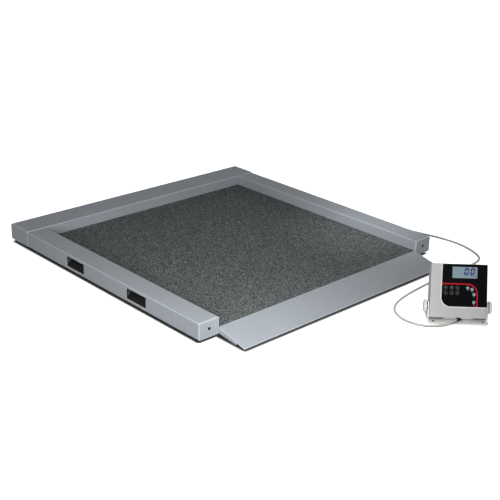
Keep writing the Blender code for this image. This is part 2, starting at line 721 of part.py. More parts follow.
def build_junction(builder):
    """The junction box in the right beam, its board and lid, the leads from the cells and the gland."""
    centre_x = WIDTH / 2 - BEAM_WALL - JUNCTION_FROM_WALL - JUNCTION_WIDTH / 2
    low = (centre_x - JUNCTION_WIDTH / 2, CABLE_EXIT_Y - JUNCTION_LENGTH / 2, JUNCTION_BOTTOM)
    top = JUNCTION_BOTTOM + JUNCTION_HEIGHT
    high = (centre_x + JUNCTION_WIDTH / 2, CABLE_EXIT_Y + JUNCTION_LENGTH / 2, top)
    wall = JUNCTION_WALL
    housing = builder.add("junction_box", block("junction_box", low, high), "black_plastic")
    room = block(
        "room",
        (low[0] + wall, low[1] + wall, low[2] + wall),
        (high[0] - wall, high[1] - wall, high[2] + CUT),
    )
    builder.carve(housing, "junction_room", room)
    hole = rod("hole", GLAND_THREAD_RADIUS + GAP, high[0] - wall - CUT, high[0] + CUT, "x")
    builder.carve(housing, "junction_hole", shifted(hole, (0, CABLE_EXIT_Y, CABLE_EXIT_Z)))
    lid = block("lid", (low[0], low[1], high[2] + GAP), (high[0], high[1], high[2] + JUNCTION_LID))
    builder.add("junction_lid", lid, "black_plastic")
    side, end = wall + BOARD_MARGIN[0], wall + BOARD_MARGIN[1]
    floor = low[2] + wall + GAP
    board = block(
        "board",
        (low[0] + side, low[1] + end, floor),
        (high[0] - side, high[1] - end, floor + BOARD_THICKNESS),
    )
    builder.add("junction_board", board, "circuit_board")
    build_leads(builder, low, high)

    face = WIDTH / 2
    inner_end = high[0] - wall - LAP
    profile = [(0, inner_end), (GLAND_THREAD_RADIUS, inner_end), (GLAND_THREAD_RADIUS, face + GAP)]
    profile += [(radius, face + out) for radius, out in GLAND_NUT]
    profile += [(GLAND_TIP_RADIUS, face + GLAND_REACH), (0, face + GLAND_REACH)]
    gland = turned("platform_gland", profile, 18, "x")
    place = (0, CABLE_EXIT_Y, CABLE_EXIT_Z)
    builder.smooth(builder.add("platform_gland", gland, "black_plastic", None, place))


def build_leads(builder, box_low, box_high):
    """The load cells' leads, which run inside the beams to the junction box."""
    reach = CELL_FAR_END + GAP
    front_cell, back_cell = foot_y("front") + reach, foot_y("back") - reach
    right = beam_centre("right")
    left = beam_centre("left")
    height = LEAD_HEIGHT
    bend = LEAD_BEND
    corner = BACK_BEAM_FRONT + LEAD_IN_BACK_BEAM
    box_back, box_front = box_high[1] + GAP, box_low[1] - GAP
    box_x = box_low[0] + LEAD_FROM_BOX_EDGE
    routes = {
        "lead_front_right": [(right, front_cell, height), (right, box_front, height)],
        "lead_back_right": [(right, back_cell, height), (right, box_back, height)],
        "lead_left": [
            (left, front_cell, height),
            (left, front_cell + bend, height),
            (-LEAD_SIDE_X, front_cell + 3 * bend, height),
            (-LEAD_SIDE_X, corner - bend, height),
            (-LEAD_SIDE_X + 0.3 * bend, corner - 0.3 * bend, height),
            (-LEAD_SIDE_X + bend, corner, height),
            (LEAD_SIDE_X - bend, corner, height),
            (LEAD_SIDE_X - 0.3 * bend, corner - 0.3 * bend, height),
            (LEAD_SIDE_X, corner - bend, height),
            (LEAD_SIDE_X, box_back + 10 * bend, height),
            (box_x, box_back + 3 * bend, height),
            (box_x, box_back, height),
        ],
    }
    for name, points in routes.items():
        add_tube(builder, name, points, LEAD_RADIUS, "lead_jacket", 2)


def add_tube(builder, name, points, radius, material, sides):
    """A round tube along points, with closed ends."""
    curve = bpy.data.curves.new(name, "CURVE")
    curve.dimensions = "3D"
    curve.bevel_depth = radius
    curve.bevel_resolution = sides
    curve.use_fill_caps = True
    curve.twist_mode = "Z_UP"
    spline = curve.splines.new("POLY")
    spline.points.add(len(points) - 1)
    for point, place in zip(spline.points, points):
        point.co = (*place, 1.0)
    curve.materials.append(builder.materials[material])
    tube = bpy.data.objects.new(name, curve)
    tube.parent = builder.root
    bpy.context.scene.collection.objects.link(tube)
    builder.nodes.append(tube)
    return tube


def smooth_path(points, step):
    """Points at even steps along the smooth (Catmull-Rom) curve through the given ones."""
    places = [Vector(point) for point in points]
    places = [2 * places[0] - places[1], *places, 2 * places[-1] - places[-2]]
    fine = []
    for first, second, third, fourth in zip(places, places[1:], places[2:], places[3:]):
        for index in range(CURVE_SAMPLES):
            t = index / CURVE_SAMPLES
            fine.append(
                0.5
                * (
                    2 * second
                    + (third - first) * t
                    + (2 * first - 5 * second + 4 * third - fourth) * t**2
                    + (3 * second - first - 3 * third + fourth) * t**3
                )
            )
    fine.append(places[-2])
    lengths = [0.0]
    for before, after in zip(fine, fine[1:]):
        lengths.append(lengths[-1] + (after - before).length)
    count = round(lengths[-1] / step)
    path, index = [], 0
    for number in range(count + 1):
        wanted = lengths[-1] * number / count
        while index < len(fine) - 2 and lengths[index + 1] < wanted:
            index += 1
        share = (wanted - lengths[index]) / (lengths[index + 1] - lengths[index])
        path.append(fine[index].lerp(fine[index + 1], share))
    return path


# --- Display unit --------------------------------------------------------------------------------
def build_bracket(builder, unit):
    """The U-shaped bracket, drawn from the middle of its front edge: x right, y back."""
    half = BRACKET_HALF_WIDTH
    corners = rectangle(-half, 0, half, BRACKET_DEPTH)
    plan = rounded(corners, BRACKET_CORNER, 5)
    bracket = builder.add(
        "bracket", prism("bracket", plan, "z", 0, BRACKET_SHEET), "white_bracket", unit
    )
    steps = 12
    arm = [(TILT_AXIS_BACK - ARM_FOOT_HALF, LAP), (TILT_AXIS_BACK + ARM_FOOT_HALF, LAP)]
    for step in range(steps + 1):
        angle = math.pi * step / steps
        arm.append(
            (
                TILT_AXIS_BACK + ARM_RADIUS * math.cos(angle),
                TILT_AXIS_HEIGHT + ARM_RADIUS * math.sin(angle),
            )
        )
    for side, sign in SIDES.items():
        outer = sign * (half - 0.0001)
        mesh = prism("arm", arm, "x", outer - sign * BRACKET_SHEET, outer)
        builder.carve(bracket, f"arm_{side}", mesh, "UNION")
    pivot = rod("hole", KNOB_STUD_RADIUS + GAP, -half - CUT, half + CUT, "x")
    builder.carve(bracket, "pivot_holes", shifted(pivot, (0, TILT_AXIS_BACK, TILT_AXIS_HEIGHT)))
    screws = [
        shifted(
            rod("hole", BRACKET_SCREW_RADIUS, -CUT, BRACKET_SHEET + CUT, "z", 12),
            (sign * BRACKET_SCREW_SIDE, y, 0),
        )
        for sign in SIDES.values()
        for y in (BRACKET_SCREW_FROM_EDGE, BRACKET_DEPTH - BRACKET_SCREW_FROM_EDGE)
    ]
    builder.carve(bracket, "screw_holes", joined("holes", screws))


def taper(mesh):
    """Narrows a case shape towards the top of the case."""
    for vertex in mesh.vertices:
        height = (vertex.co.z - CASE_BOTTOM) / (CASE_TOP - CASE_BOTTOM)
        vertex.co.x *= 1 - CASE_TOP_TAPER * height
    return mesh


def edge_softened(mesh, limit, width):
    """Rounds the edges whose middle lies in front of a limit in y."""
    shape = bmesh.new()
    shape.from_mesh(mesh)
    edges = [edge for edge in shape.edges if sum(vertex.co.y for vertex in edge.verts) / 2 < limit]
    bmesh.ops.bevel(shape, geom=edges, offset=width, segments=2, profile=0.5, affect="EDGES")
    return to_mesh(mesh.name, shape)


def key_centres():
    """Every key's name, centre on the face, radius and material."""
    keys = {}
    for row, z in enumerate(DARK_KEY_ROWS, 1):
        for column, x in enumerate(DARK_KEY_COLUMNS, 1):
            keys[f"key_row{row}_{column}"] = (x, z, DARK_KEY_RADIUS, "dark_key")
    for number, (x, z) in enumerate(GREY_KEY_CENTRES, 1):
        keys[f"key_side_{number}"] = (x, z, GREY_KEY_RADIUS, "grey_key")
    return keys


def build_case_front(builder, tilt):
    """The front half of the case, with the pocket for the overlay and the block under its chin."""
    half, wall = CASE_HALF_WIDTH, CASE_WALL
    shell = prism("case_front", rectangle(-half, CASE_BOTTOM, half, CASE_TOP), "y", CASE_FACE, CASE_SEAM)
    shell = edge_softened(shell, CASE_SEAM - LAP, CASE_EDGE)
    front = builder.add("case_front", taper(shell), "grey_shell", tilt)
    core = rectangle(-half + wall, CASE_BOTTOM + wall, half - wall, CASE_TOP - wall)
    builder.carve(front, "front_core", taper(prism("core", core, "y", CASE_FACE + wall, CASE_SEAM + CUT)))
    low = (-CHIN_BLOCK_HALF_WIDTH, CASE_FACE + CHIN_BLOCK_SETBACK, CHIN_BLOCK_BOTTOM)
    high = (CHIN_BLOCK_HALF_WIDTH, CHIN_BLOCK_BACK, CASE_BOTTOM + LAP)
    builder.carve(front, "chin_block", block("block", low, high), "UNION")

    outline = rectangle(OVERLAY_LEFT, OVERLAY_BOTTOM, half + CUT, CASE_TOP + CUT)
    pocket = rounded(outline, [OVERLAY_CORNER, 0, 0, 0], 8)
    floor = CASE_FACE + OVERLAY_POCKET
    builder.carve(front, "overlay_pocket", prism("pocket", pocket, "y", CASE_FACE - CUT, floor))
    window = block(
        "window",
        (DISPLAY_LEFT + WINDOW_LEDGE, CASE_FACE - CUT, DISPLAY_BOTTOM + WINDOW_LEDGE),
        (DISPLAY_RIGHT - WINDOW_LEDGE, CASE_FACE + wall + CUT, DISPLAY_TOP - WINDOW_LEDGE),
    )
    builder.carve(front, "window_hole", window)
    start, stop = CASE_FACE - CUT, CASE_FACE + wall + CUT
    stems = [
        shifted(rod("hole", KEY_STEM_RADIUS + GAP, start, stop, "y", 12), (x, 0, z))
        for x, z, _, _ in key_centres().values()
    ]
    builder.carve(front, "stem_holes", joined("holes", stems))
    builder.carve(front, "stud_holes", rod("hole", KNOB_STUD_RADIUS + GAP, -half - CUT, half + CUT, "x"))
    build_case_gland(builder, tilt, front)


def build_case_gland(builder, tilt, front):
    """The gland under the chin. It is level and lies along the frame's X when the unit is at rest."""
    entry = builder.empty("cable_entry", tilt, ENTRY_AT, (LEAN_BACK, 0, -UNIT_TURN), "ZYX")
    groove = rod("groove", ENTRY_ROOT_RADIUS + GAP, -CUT, ENTRY_LENGTH + GAP, "x", 20)
    builder.carve(front, "entry_groove", groove, frame=entry)
    root = ENTRY_LENGTH - ENTRY_ROOT_LENGTH
    gland = turned(
        "case_gland",
        [
            (0, 0),
            (ENTRY_TIP_RADIUS, 0),
            (ENTRY_ROOT_RADIUS - GAP, root - LAP),
            (ENTRY_ROOT_RADIUS, root),
            (ENTRY_ROOT_RADIUS, ENTRY_LENGTH),
            (0, ENTRY_LENGTH),
        ],
        16,
        "x",
    )
    builder.smooth(builder.add("case_gland", gland, "black_plastic", entry))


def build_case_back(builder, tilt):
    """The back half of the case, with the battery bay and its door."""
    half, wall = CASE_HALF_WIDTH, CASE_WALL
    seam = CASE_SEAM + GAP
    step_back, step_up = CASE_BACK_STEP
    side = [
        (seam, CASE_BOTTOM + LAP),
        (seam + step_back, CASE_BOTTOM + step_up),
        (CASE_BACK, CASE_BACK_LOW),
        (CASE_BACK, CASE_BACK_HIGH),
        (seam + CASE_BACK_TOP_DEPTH, CASE_TOP),
        (seam, CASE_TOP),
    ]
    outline = rounded(side, [0, 0.003, 0.006, 0.010, 0.002, 0], 2)
    shell = builder.add(
        "case_back", taper(prism("case_back", outline, "x", -half, half)), "grey_shell", tilt
    )
    back_wall = wall + LAP
    core = [
        (seam - CUT, CASE_BOTTOM + back_wall),
        (seam + step_back - LAP, CASE_BOTTOM + step_up + back_wall),
        (CASE_BACK - back_wall, CASE_BACK_LOW + LAP),
        (CASE_BACK - back_wall, CASE_BACK_HIGH - LAP),
        (seam + CASE_BACK_TOP_DEPTH - wall, CASE_TOP - wall),
        (seam - CUT, CASE_TOP - wall),
    ]
    room = taper(prism("core", core, "x", -half + wall, half - wall))
    builder.carve(shell, "back_core_room", room)

    wide = DOOR_HALF_WIDTH + GAP
    seat_low = (-wide, CASE_BACK - DOOR_SHEET - GAP, DOOR_BOTTOM - GAP)
    seat = block("seat", seat_low, (wide, CASE_BACK + CUT, DOOR_TOP + GAP))
    builder.carve(shell, "door_seat", seat)
    bay = block(
        "bay",
        (-DOOR_HALF_WIDTH + DOOR_LEDGE, CASE_BACK - back_wall - CUT, DOOR_BOTTOM + DOOR_LEDGE),
        (DOOR_HALF_WIDTH - DOOR_LEDGE, CASE_BACK + CUT, DOOR_TOP - DOOR_LEDGE),
    )
    builder.carve(shell, "battery_opening", bay)
    door_low = (-DOOR_HALF_WIDTH, CASE_BACK - DOOR_SHEET, DOOR_BOTTOM)
    door = block("door", door_low, (DOOR_HALF_WIDTH, CASE_BACK, DOOR_TOP))
    builder.add("battery_door", door, "grey_shell", tilt)
    pack_low = (-PACK_HALF_WIDTH, PACK_FRONT, DOOR_BOTTOM + PACK_MARGIN)
    pack_high = (PACK_HALF_WIDTH, CASE_BACK - PACK_DEPTH_LEFT, DOOR_TOP - PACK_MARGIN)
    builder.add("battery_pack", block("pack", pack_low, pack_high), "battery_wrap", tilt)


def build_face(builder, tilt):
    """The overlay film with its openings, the display and its lens, the keys and the main board."""
    right, top = CASE_HALF_WIDTH - OVERLAY_MARGIN, CASE_TOP - OVERLAY_MARGIN
    outline = rounded(
        rectangle(OVERLAY_LEFT + GAP, OVERLAY_BOTTOM + GAP, right, top),
        [OVERLAY_CORNER - GAP, 0.0015, 0.0015, 0.0008],
        8,
    )
    back = CASE_FACE + OVERLAY_POCKET - GAP
    film = taper(prism("keypad_overlay", outline, "y", back - OVERLAY_SHEET, back))
    overlay = builder.add("keypad_overlay", film, "overlay_film", tilt)
    front = CASE_FACE - CUT
    window = block("window", (DISPLAY_LEFT, front, DISPLAY_BOTTOM), (DISPLAY_RIGHT, 0, DISPLAY_TOP))
    builder.carve(overlay, "lens_hole", window)
    holes = [
        shifted(rod("hole", radius + GAP, front, 0, "y", 20), (x, 0, z))
        for x, z, radius, _ in key_centres().values()
    ]
    builder.carve(overlay, "key_holes", joined("holes", holes))

    lens = block(
        "lens",
        (DISPLAY_LEFT + GAP, back - OVERLAY_SHEET, DISPLAY_BOTTOM + GAP),
        (DISPLAY_RIGHT - GAP, back, DISPLAY_TOP - GAP),
    )
    builder.add("display_window", lens, "display_lens", tilt)
    glass_front = CASE_FACE + CASE_WALL + GAP
    glass_back = glass_front + GLASS_THICKNESS
    side, end = GLASS_OVERLAP
    glass = block(
        "glass",
        (DISPLAY_LEFT - side, glass_front, DISPLAY_BOTTOM - end),
        (DISPLAY_RIGHT + side, glass_back, DISPLAY_TOP + end),
    )
    builder.add("display_module", glass, "display_glass", tilt)
    board_front = glass_back + GAP
    board = block(
        "board",
        (MAIN_BOARD_LOW[0], board_front, MAIN_BOARD_LOW[1]),
        (MAIN_BOARD_HIGH[0], board_front + BOARD_THICKNESS, MAIN_BOARD_HIGH[1]),
    )
    builder.add("main_board", board, "circuit_board", tilt)

    face = back - OVERLAY_SHEET - KEY_PROUD
    for name, (x, z, radius, material) in key_centres().items():
        key = turned(
            name,
            [
                (0, 0),
                (radius - KEY_EDGE, 0),
                (radius, KEY_EDGE),
                (radius, KEY_CAP),
                (KEY_STEM_RADIUS, KEY_CAP),
                (KEY_STEM_RADIUS, KEY_LENGTH),
                (0, KEY_LENGTH),
            ],
            20,
            "y",
        )
        builder.smooth(builder.add(name, key, material, tilt, (x, face, z)))


def build_knobs(builder, tilt):
    """The clamp knobs on both sides, each with its dark hub and stud."""
    start = BRACKET_HALF_WIDTH + GAP
    for side, sign in SIDES.items():
        hub = turned(
            "knob_stud",
            [
                (0, KNOB_STUD_START),
                (KNOB_STUD_RADIUS, KNOB_STUD_START),
                (KNOB_STUD_RADIUS, start),
                (HUB_RADIUS, start),
                (HUB_RADIUS, start + HUB_THICKNESS),
                (0, start + HUB_THICKNESS),
            ],
            18,
            "x",
        )
        turn = (0, 0, 0 if sign > 0 else math.pi)
        builder.smooth(builder.add(f"knob_stud_{side}", hub, "dark_hub", tilt, (0, 0, 0), turn))
        inner = start + HUB_THICKNESS + GAP
        knob = builder.add(f"knob_{side}", lobed_knob(inner), "clear_knob", tilt, (0, 0, 0), turn)
        builder.smooth(knob, math.radians(40))


def lobed_knob(inner):
    """A knob with grip lobes round its rim, drawn along X from its inner face."""
    shape = bmesh.new()
    steps = KNOB_LOBES * KNOB_LOBE_STEPS
    layers = [(0.92, 0.0), (1.0, 0.0012), (1.0, KNOB_THICKNESS - 0.0018), (0.87, KNOB_THICKNESS)]
    rings = []
    for share, offset in layers:
        ring = []
        for step in range(steps):
            angle = 2 * math.pi * step / steps
            radius = share * KNOB_RADIUS * (1 - KNOB_LOBE_DEPTH * (1 - math.cos(KNOB_LOBES * angle)) / 2)
            ring.append(
                shape.verts.new((inner + offset, radius * math.cos(angle), radius * math.sin(angle)))
            )
        rings.append(ring)
    for lower, upper in zip(rings, rings[1:]):
        for step in range(steps):
            after = (step + 1) % steps
            shape.faces.new((lower[step], lower[after], upper[after], upper[step]))
    shape.faces.new(rings[0])
    shape.faces.new(rings[-1])
    return to_mesh("knob", shape)


def build_cable(builder):
    """The cable from the platform's gland to the gland under the display unit."""
    bpy.context.view_layer.update()
    start = (WIDTH / 2 + GLAND_REACH + GAP, CABLE_EXIT_Y, CABLE_EXIT_Z)
    entry = bpy.data.objects["cable_entry"].matrix_world @ Vector((-GAP, 0, 0))
    route = [start, *CABLE_ROUTE, tuple(entry)]
    add_tube(
        builder, "platform_cable", smooth_path(route, CABLE_STEP), CABLE_RADIUS, "cable_jacket", 2
    )


def centre_on_footprint(builder):
    """Moves the whole scale so that the origin is under the middle of all its pieces but the cable."""
    bpy.context.view_layer.update()
    graph = bpy.context.evaluated_depsgraph_get()
    corners = []
    for piece in builder.nodes:
        if piece.name == "platform_cable":
            continue
        shown = piece.evaluated_get(graph)
        mesh = shown.to_mesh()
        corners += [shown.matrix_world @ vertex.co for vertex in mesh.vertices]
        shown.to_mesh_clear()
    for axis in (0, 1):
        values = [corner[axis] for corner in corners]
        builder.root.location[axis] = -(min(values) + max(values)) / 2
    bpy.context.view_layer.update()


def main():
    for old in list(bpy.data.objects):
        bpy.data.objects.remove(old, do_unlink=True)
    builder = Builder()
    build_side_beams(builder)
    build_back_beam(builder)
    build_deck(builder)
    build_ramp(builder)
    build_hand_cups(builder)
    build_cells_and_feet(builder)
    build_wheels(builder)
    build_junction(builder)

    unit = builder.empty("unit_frame", builder.root, (*UNIT_FRONT_CENTRE, 0), (0, 0, UNIT_TURN))
    tilt = builder.empty(
        "tilt_axis", unit, (0, TILT_AXIS_BACK, TILT_AXIS_HEIGHT), (-LEAN_BACK, 0, 0)
    )
    build_bracket(builder, unit)
    build_case_front(builder, tilt)
    build_case_back(builder, tilt)
    build_face(builder, tilt)
    build_knobs(builder, tilt)
    build_cable(builder)
    centre_on_footprint(builder)


main()
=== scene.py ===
"""The looks of the animal weighing scale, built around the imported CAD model. Lengths are in metres."""

import json
import math

import bmesh
import bpy
from mathutils import Matrix, Vector


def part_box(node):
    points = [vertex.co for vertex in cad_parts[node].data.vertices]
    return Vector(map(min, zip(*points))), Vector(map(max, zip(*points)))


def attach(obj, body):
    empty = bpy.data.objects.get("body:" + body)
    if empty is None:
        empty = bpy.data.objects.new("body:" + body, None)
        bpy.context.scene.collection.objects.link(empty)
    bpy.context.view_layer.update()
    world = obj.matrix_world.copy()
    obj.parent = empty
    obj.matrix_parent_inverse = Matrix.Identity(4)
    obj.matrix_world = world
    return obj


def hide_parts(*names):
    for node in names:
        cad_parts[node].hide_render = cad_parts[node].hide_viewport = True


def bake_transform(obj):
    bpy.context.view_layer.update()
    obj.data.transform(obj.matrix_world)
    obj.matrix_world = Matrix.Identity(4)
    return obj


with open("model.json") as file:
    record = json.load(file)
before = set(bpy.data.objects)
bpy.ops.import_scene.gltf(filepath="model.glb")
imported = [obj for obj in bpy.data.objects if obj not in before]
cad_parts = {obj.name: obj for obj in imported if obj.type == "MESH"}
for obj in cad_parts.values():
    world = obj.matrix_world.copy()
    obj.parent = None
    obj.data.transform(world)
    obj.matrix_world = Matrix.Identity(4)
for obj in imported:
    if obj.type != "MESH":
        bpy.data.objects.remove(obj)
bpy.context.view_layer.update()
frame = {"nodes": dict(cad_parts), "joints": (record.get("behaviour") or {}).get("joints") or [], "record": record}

# --- Places read from the CAD model ---
UP = Vector((0, 0, 1))
LOW_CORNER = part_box("left_side_beam")[0]
HIGH_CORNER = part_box("back_cap_right")[1]
CENTRE_X = (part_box("back_cap_left")[0][0] + HIGH_CORNER[0]) / 2
FRONT_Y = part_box("front_cap_left")[0][1]
TILT = next(joint for joint in frame["joints"] if joint["name"] == "case_tilt")
KEY_PRESS = next(joint for joint in frame["joints"] if joint["name"] == "key_row1_1_press")
TILT_AT = Vector(TILT["pos_m"])
CASE_X = -Vector(TILT["axis"]).normalized()
CASE_Y = Vector(KEY_PRESS["axis"]).normalized()
CASE_Z = CASE_X.cross(CASE_Y)
BRACKET_HALF_WIDTH = 0.0790
BRACKET_DEPTH = 0.084
BRACKET_SHEET = 0.0028
BRACKET_CORNER = 0.012
LIP_INSET = 0.0011
LIP_END = 0.0190
TILT_BACK = 0.042  # from the bracket's front edge to the pivots


def from_platform(x, y, z=0.0):
    """A point given from the middle of the platform's front edge."""
    return Vector((CENTRE_X + x, FRONT_Y + y, z))


def centre_of(node):
    """The middle of a CAD node's box."""
    low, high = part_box(node)
    return Vector([(first + second) / 2 for first, second in zip(low, high)])


# --- Camera and light ---
CAMERA_FROM_PLATFORM = (-1.8956, -1.6879, 1.1764)
CAMERA_AZIMUTH = math.radians(-43.52)
CAMERA_ELEVATION = math.radians(22.54)
CAMERA_ROLL = math.radians(1.545)
SENSOR_WIDTH = 36.0
LENS = 72.7
CLIP = (0.05, 60.0)
FLOOR_HALF = 14.0
FLOOR_DROP = 0.0002
BACKDROP_RADIUS = 40.0
BACKDROP_GLOW = 1.0
WORLD_STRENGTH = 0.245
# The floor's contact shade is painted into its colour.
SHADE = (0.0, 0.017)  # the distances from the platform between which its contact shade fades
GLOW = (0.006, 0.018)  # the distances from the object between which the floor starts to glow
GLOW_FAR = 0.9
# How far the painted contact shade reaches in under each outline. The bracket's outline only holds back the
# floor's glow.
UNDER_BEAMS = Vector((0.010, 0.010, 0))
UNDER_RAMP = Vector((0.002, 0.001, 0))
UNDER_BRACKET = Vector((0.012, 0.012))
# Each light's kind, place, target, power, size and cone. A panel has no cone.
LIGHTS = {
    "key": ("SPOT", (-0.75, -1.75, 1.5), (-0.20, 0.02, 0), 62.0, 0.25, math.radians(40)),
    "left_fill": ("AREA", (-1.6, -0.7, 0.55), (-0.4, 0.1, 0), 31.0, 0.6, None),
    "front_left": ("SPOT", (-0.5, -0.5, 0.65), (-0.36, 0.0, 0), 30.0, 0.20, math.radians(78)),
    "right_beam": ("SPOT", (0.02, -0.02, 0.8), (0.43, 0.20, 0.04), 23.0, 0.10, math.radians(34)),
    "right_wall": ("SPOT", (-0.35, 0.35, 0.45), (0.40, 0.35, 0.02), 4.5, 0.15, math.radians(50)),
    "right_fill": ("AREA", (1.35, -0.9, 0.8), (0.45, -0.1, 0), 5.0, 0.5, None),
    "back_fill": ("AREA", (2.2, 1.6, 0.35), (0.2, 0.2, 0), 28.0, 0.8, None),
}
UNREFLECTED_LIGHT = "back_fill"


def make_camera():
    """The camera, high at the front left."""
    data = bpy.data.cameras.new("camera")
    data.sensor_width = SENSOR_WIDTH
    data.lens = LENS
    data.clip_start, data.clip_end = CLIP
    camera = bpy.data.objects.new("camera", data)
    bpy.context.scene.collection.objects.link(camera)
    back = Vector(
        (
            math.sin(CAMERA_AZIMUTH) * math.cos(CAMERA_ELEVATION),
            -math.cos(CAMERA_AZIMUTH) * math.cos(CAMERA_ELEVATION),
            math.sin(CAMERA_ELEVATION),
        )
    )
    right = UP.cross(back).normalized()
    up = back.cross(right)
    turn, lift = math.cos(CAMERA_ROLL), math.sin(CAMERA_ROLL)
    right, up = right * turn + up * lift, up * turn - right * lift
    axes = Matrix((right, up, back)).transposed().to_4x4()
    camera.matrix_world = Matrix.Translation(from_platform(*CAMERA_FROM_PLATFORM)) @ axes
    bpy.context.scene.camera = camera


def aimed_light(name, kind, place, target, power, size, cone):
    """A soft light aimed at a point: a square panel, or a spot whose edge fades over its whole cone."""
    data = bpy.data.lights.new(name, kind)
    data.energy = power
    if kind == "AREA":
        data.size = size
    else:
        data.shadow_soft_size = size
        data.spot_size = cone
        data.spot_blend = 1.0
    light = bpy.data.objects.new(name, data)
    light.location = place
    direction = Vector(target) - Vector(place)
    light.rotation_euler = direction.to_track_quat("-Z", "Y").to_euler()
    light.visible_camera = False
    light.visible_glossy = name != UNREFLECTED_LIGHT
    bpy.context.scene.collection.objects.link(light)


def stage_object(name, shape, look):
    """A studio object that is only seen: it doesn't light the scale and isn't reflected in it."""
    mesh = bpy.data.meshes.new(name)
    shape.to_mesh(mesh)
    shape.free()
    mesh.materials.append(look.material)
    made = bpy.data.objects.new(name, mesh)
    made.visible_diffuse = False
    made.visible_glossy = False
    bpy.context.scene.collection.objects.link(made)
    return made


def make_floor():
    """A pale floor that is lit like a light table away from the object, with a painted contact shadow that darkens
    its colour under and around the platform and ramp.
    """
    shape = bmesh.new()
    bmesh.ops.create_grid(shape, x_segments=1, y_segments=1, size=FLOOR_HALF)
    look = Shader("studio_floor").set(Roughness=0.95, Specular_IOR_Level=0.05)
    look.set(Emission_Color=(1, 1, 1, 1))
    ramp_low, ramp_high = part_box("ramp")
    beams = look.distance_outside(
        Vector(LOW_CORNER) + UNDER_BEAMS, Vector(HIGH_CORNER) - UNDER_BEAMS
    )
    ramp = look.distance_outside(Vector(ramp_low) + UNDER_RAMP, Vector(ramp_high) - UNDER_RAMP)
    platform = look.smaller(beams, ramp)
    foot_centre = (TILT_AT + UP.cross(CASE_X) * (BRACKET_DEPTH / 2 - TILT_BACK)).xy
    foot = Vector((BRACKET_HALF_WIDTH, BRACKET_DEPTH / 2)) - UNDER_BRACKET
    turn = math.atan2(CASE_X.y, CASE_X.x)
    unit = look.distance_outside(foot_centre - foot, foot_centre + foot, turn)
    # Painted contact shadow: the floor's colour darkens under and around the platform and ramp.
    shade = look.span(platform, *SHADE, kind="SMOOTHSTEP")
    look.colour(look.ramp(shade, (0.0, 0.03), (0.25, 0.10), (1.0, 0.95)))
    glow = look.span(look.smaller(platform, unit), *GLOW, 0.0, GLOW_FAR, "SMOOTHSTEP")
    look.link(glow, look.surface.inputs["Emission Strength"])
    stage_object("studio_floor", shape, look).location.z = -FLOOR_DROP


def make_backdrop():
    """A white dome around the floor, which casts no shadow."""
    shape = bmesh.new()
    bmesh.ops.create_uvsphere(shape, u_segments=32, v_segments=16, radius=BACKDROP_RADIUS)
    look = Shader("studio_backdrop")
    look.set(Base_Color=(0, 0, 0, 1), Emission_Color=(1, 1, 1, 1), Emission_Strength=BACKDROP_GLOW)
    look.material.cycles.emission_sampling = "NONE"
    stage_object("studio_backdrop", shape, look).visible_shadow = False


def make_stage():
    """The floor, the dome, the world and the lights."""
    make_floor()
    make_backdrop()
    world = bpy.data.worlds.new("studio")
    world.use_nodes = True
    sky = world.node_tree.nodes["Background"]
    sky.inputs["Color"].default_value = (1.0, 1.0, 1.0, 1)
    sky.inputs["Strength"].default_value = WORLD_STRENGTH
    bpy.context.scene.world = world
    for name, (kind, place, target, power, size, cone) in LIGHTS.items():
        aimed_light(name, kind, from_platform(*place), from_platform(*target), power, size, cone)
    bpy.context.scene.view_settings.view_transform = "Standard"


# --- Materials ---
BEVEL_SAMPLES = 6
# How alike the rounded and the flat normal are where the edge mask is 0 and 1.
EDGE_LIKENESS = (0.99, 0.90)


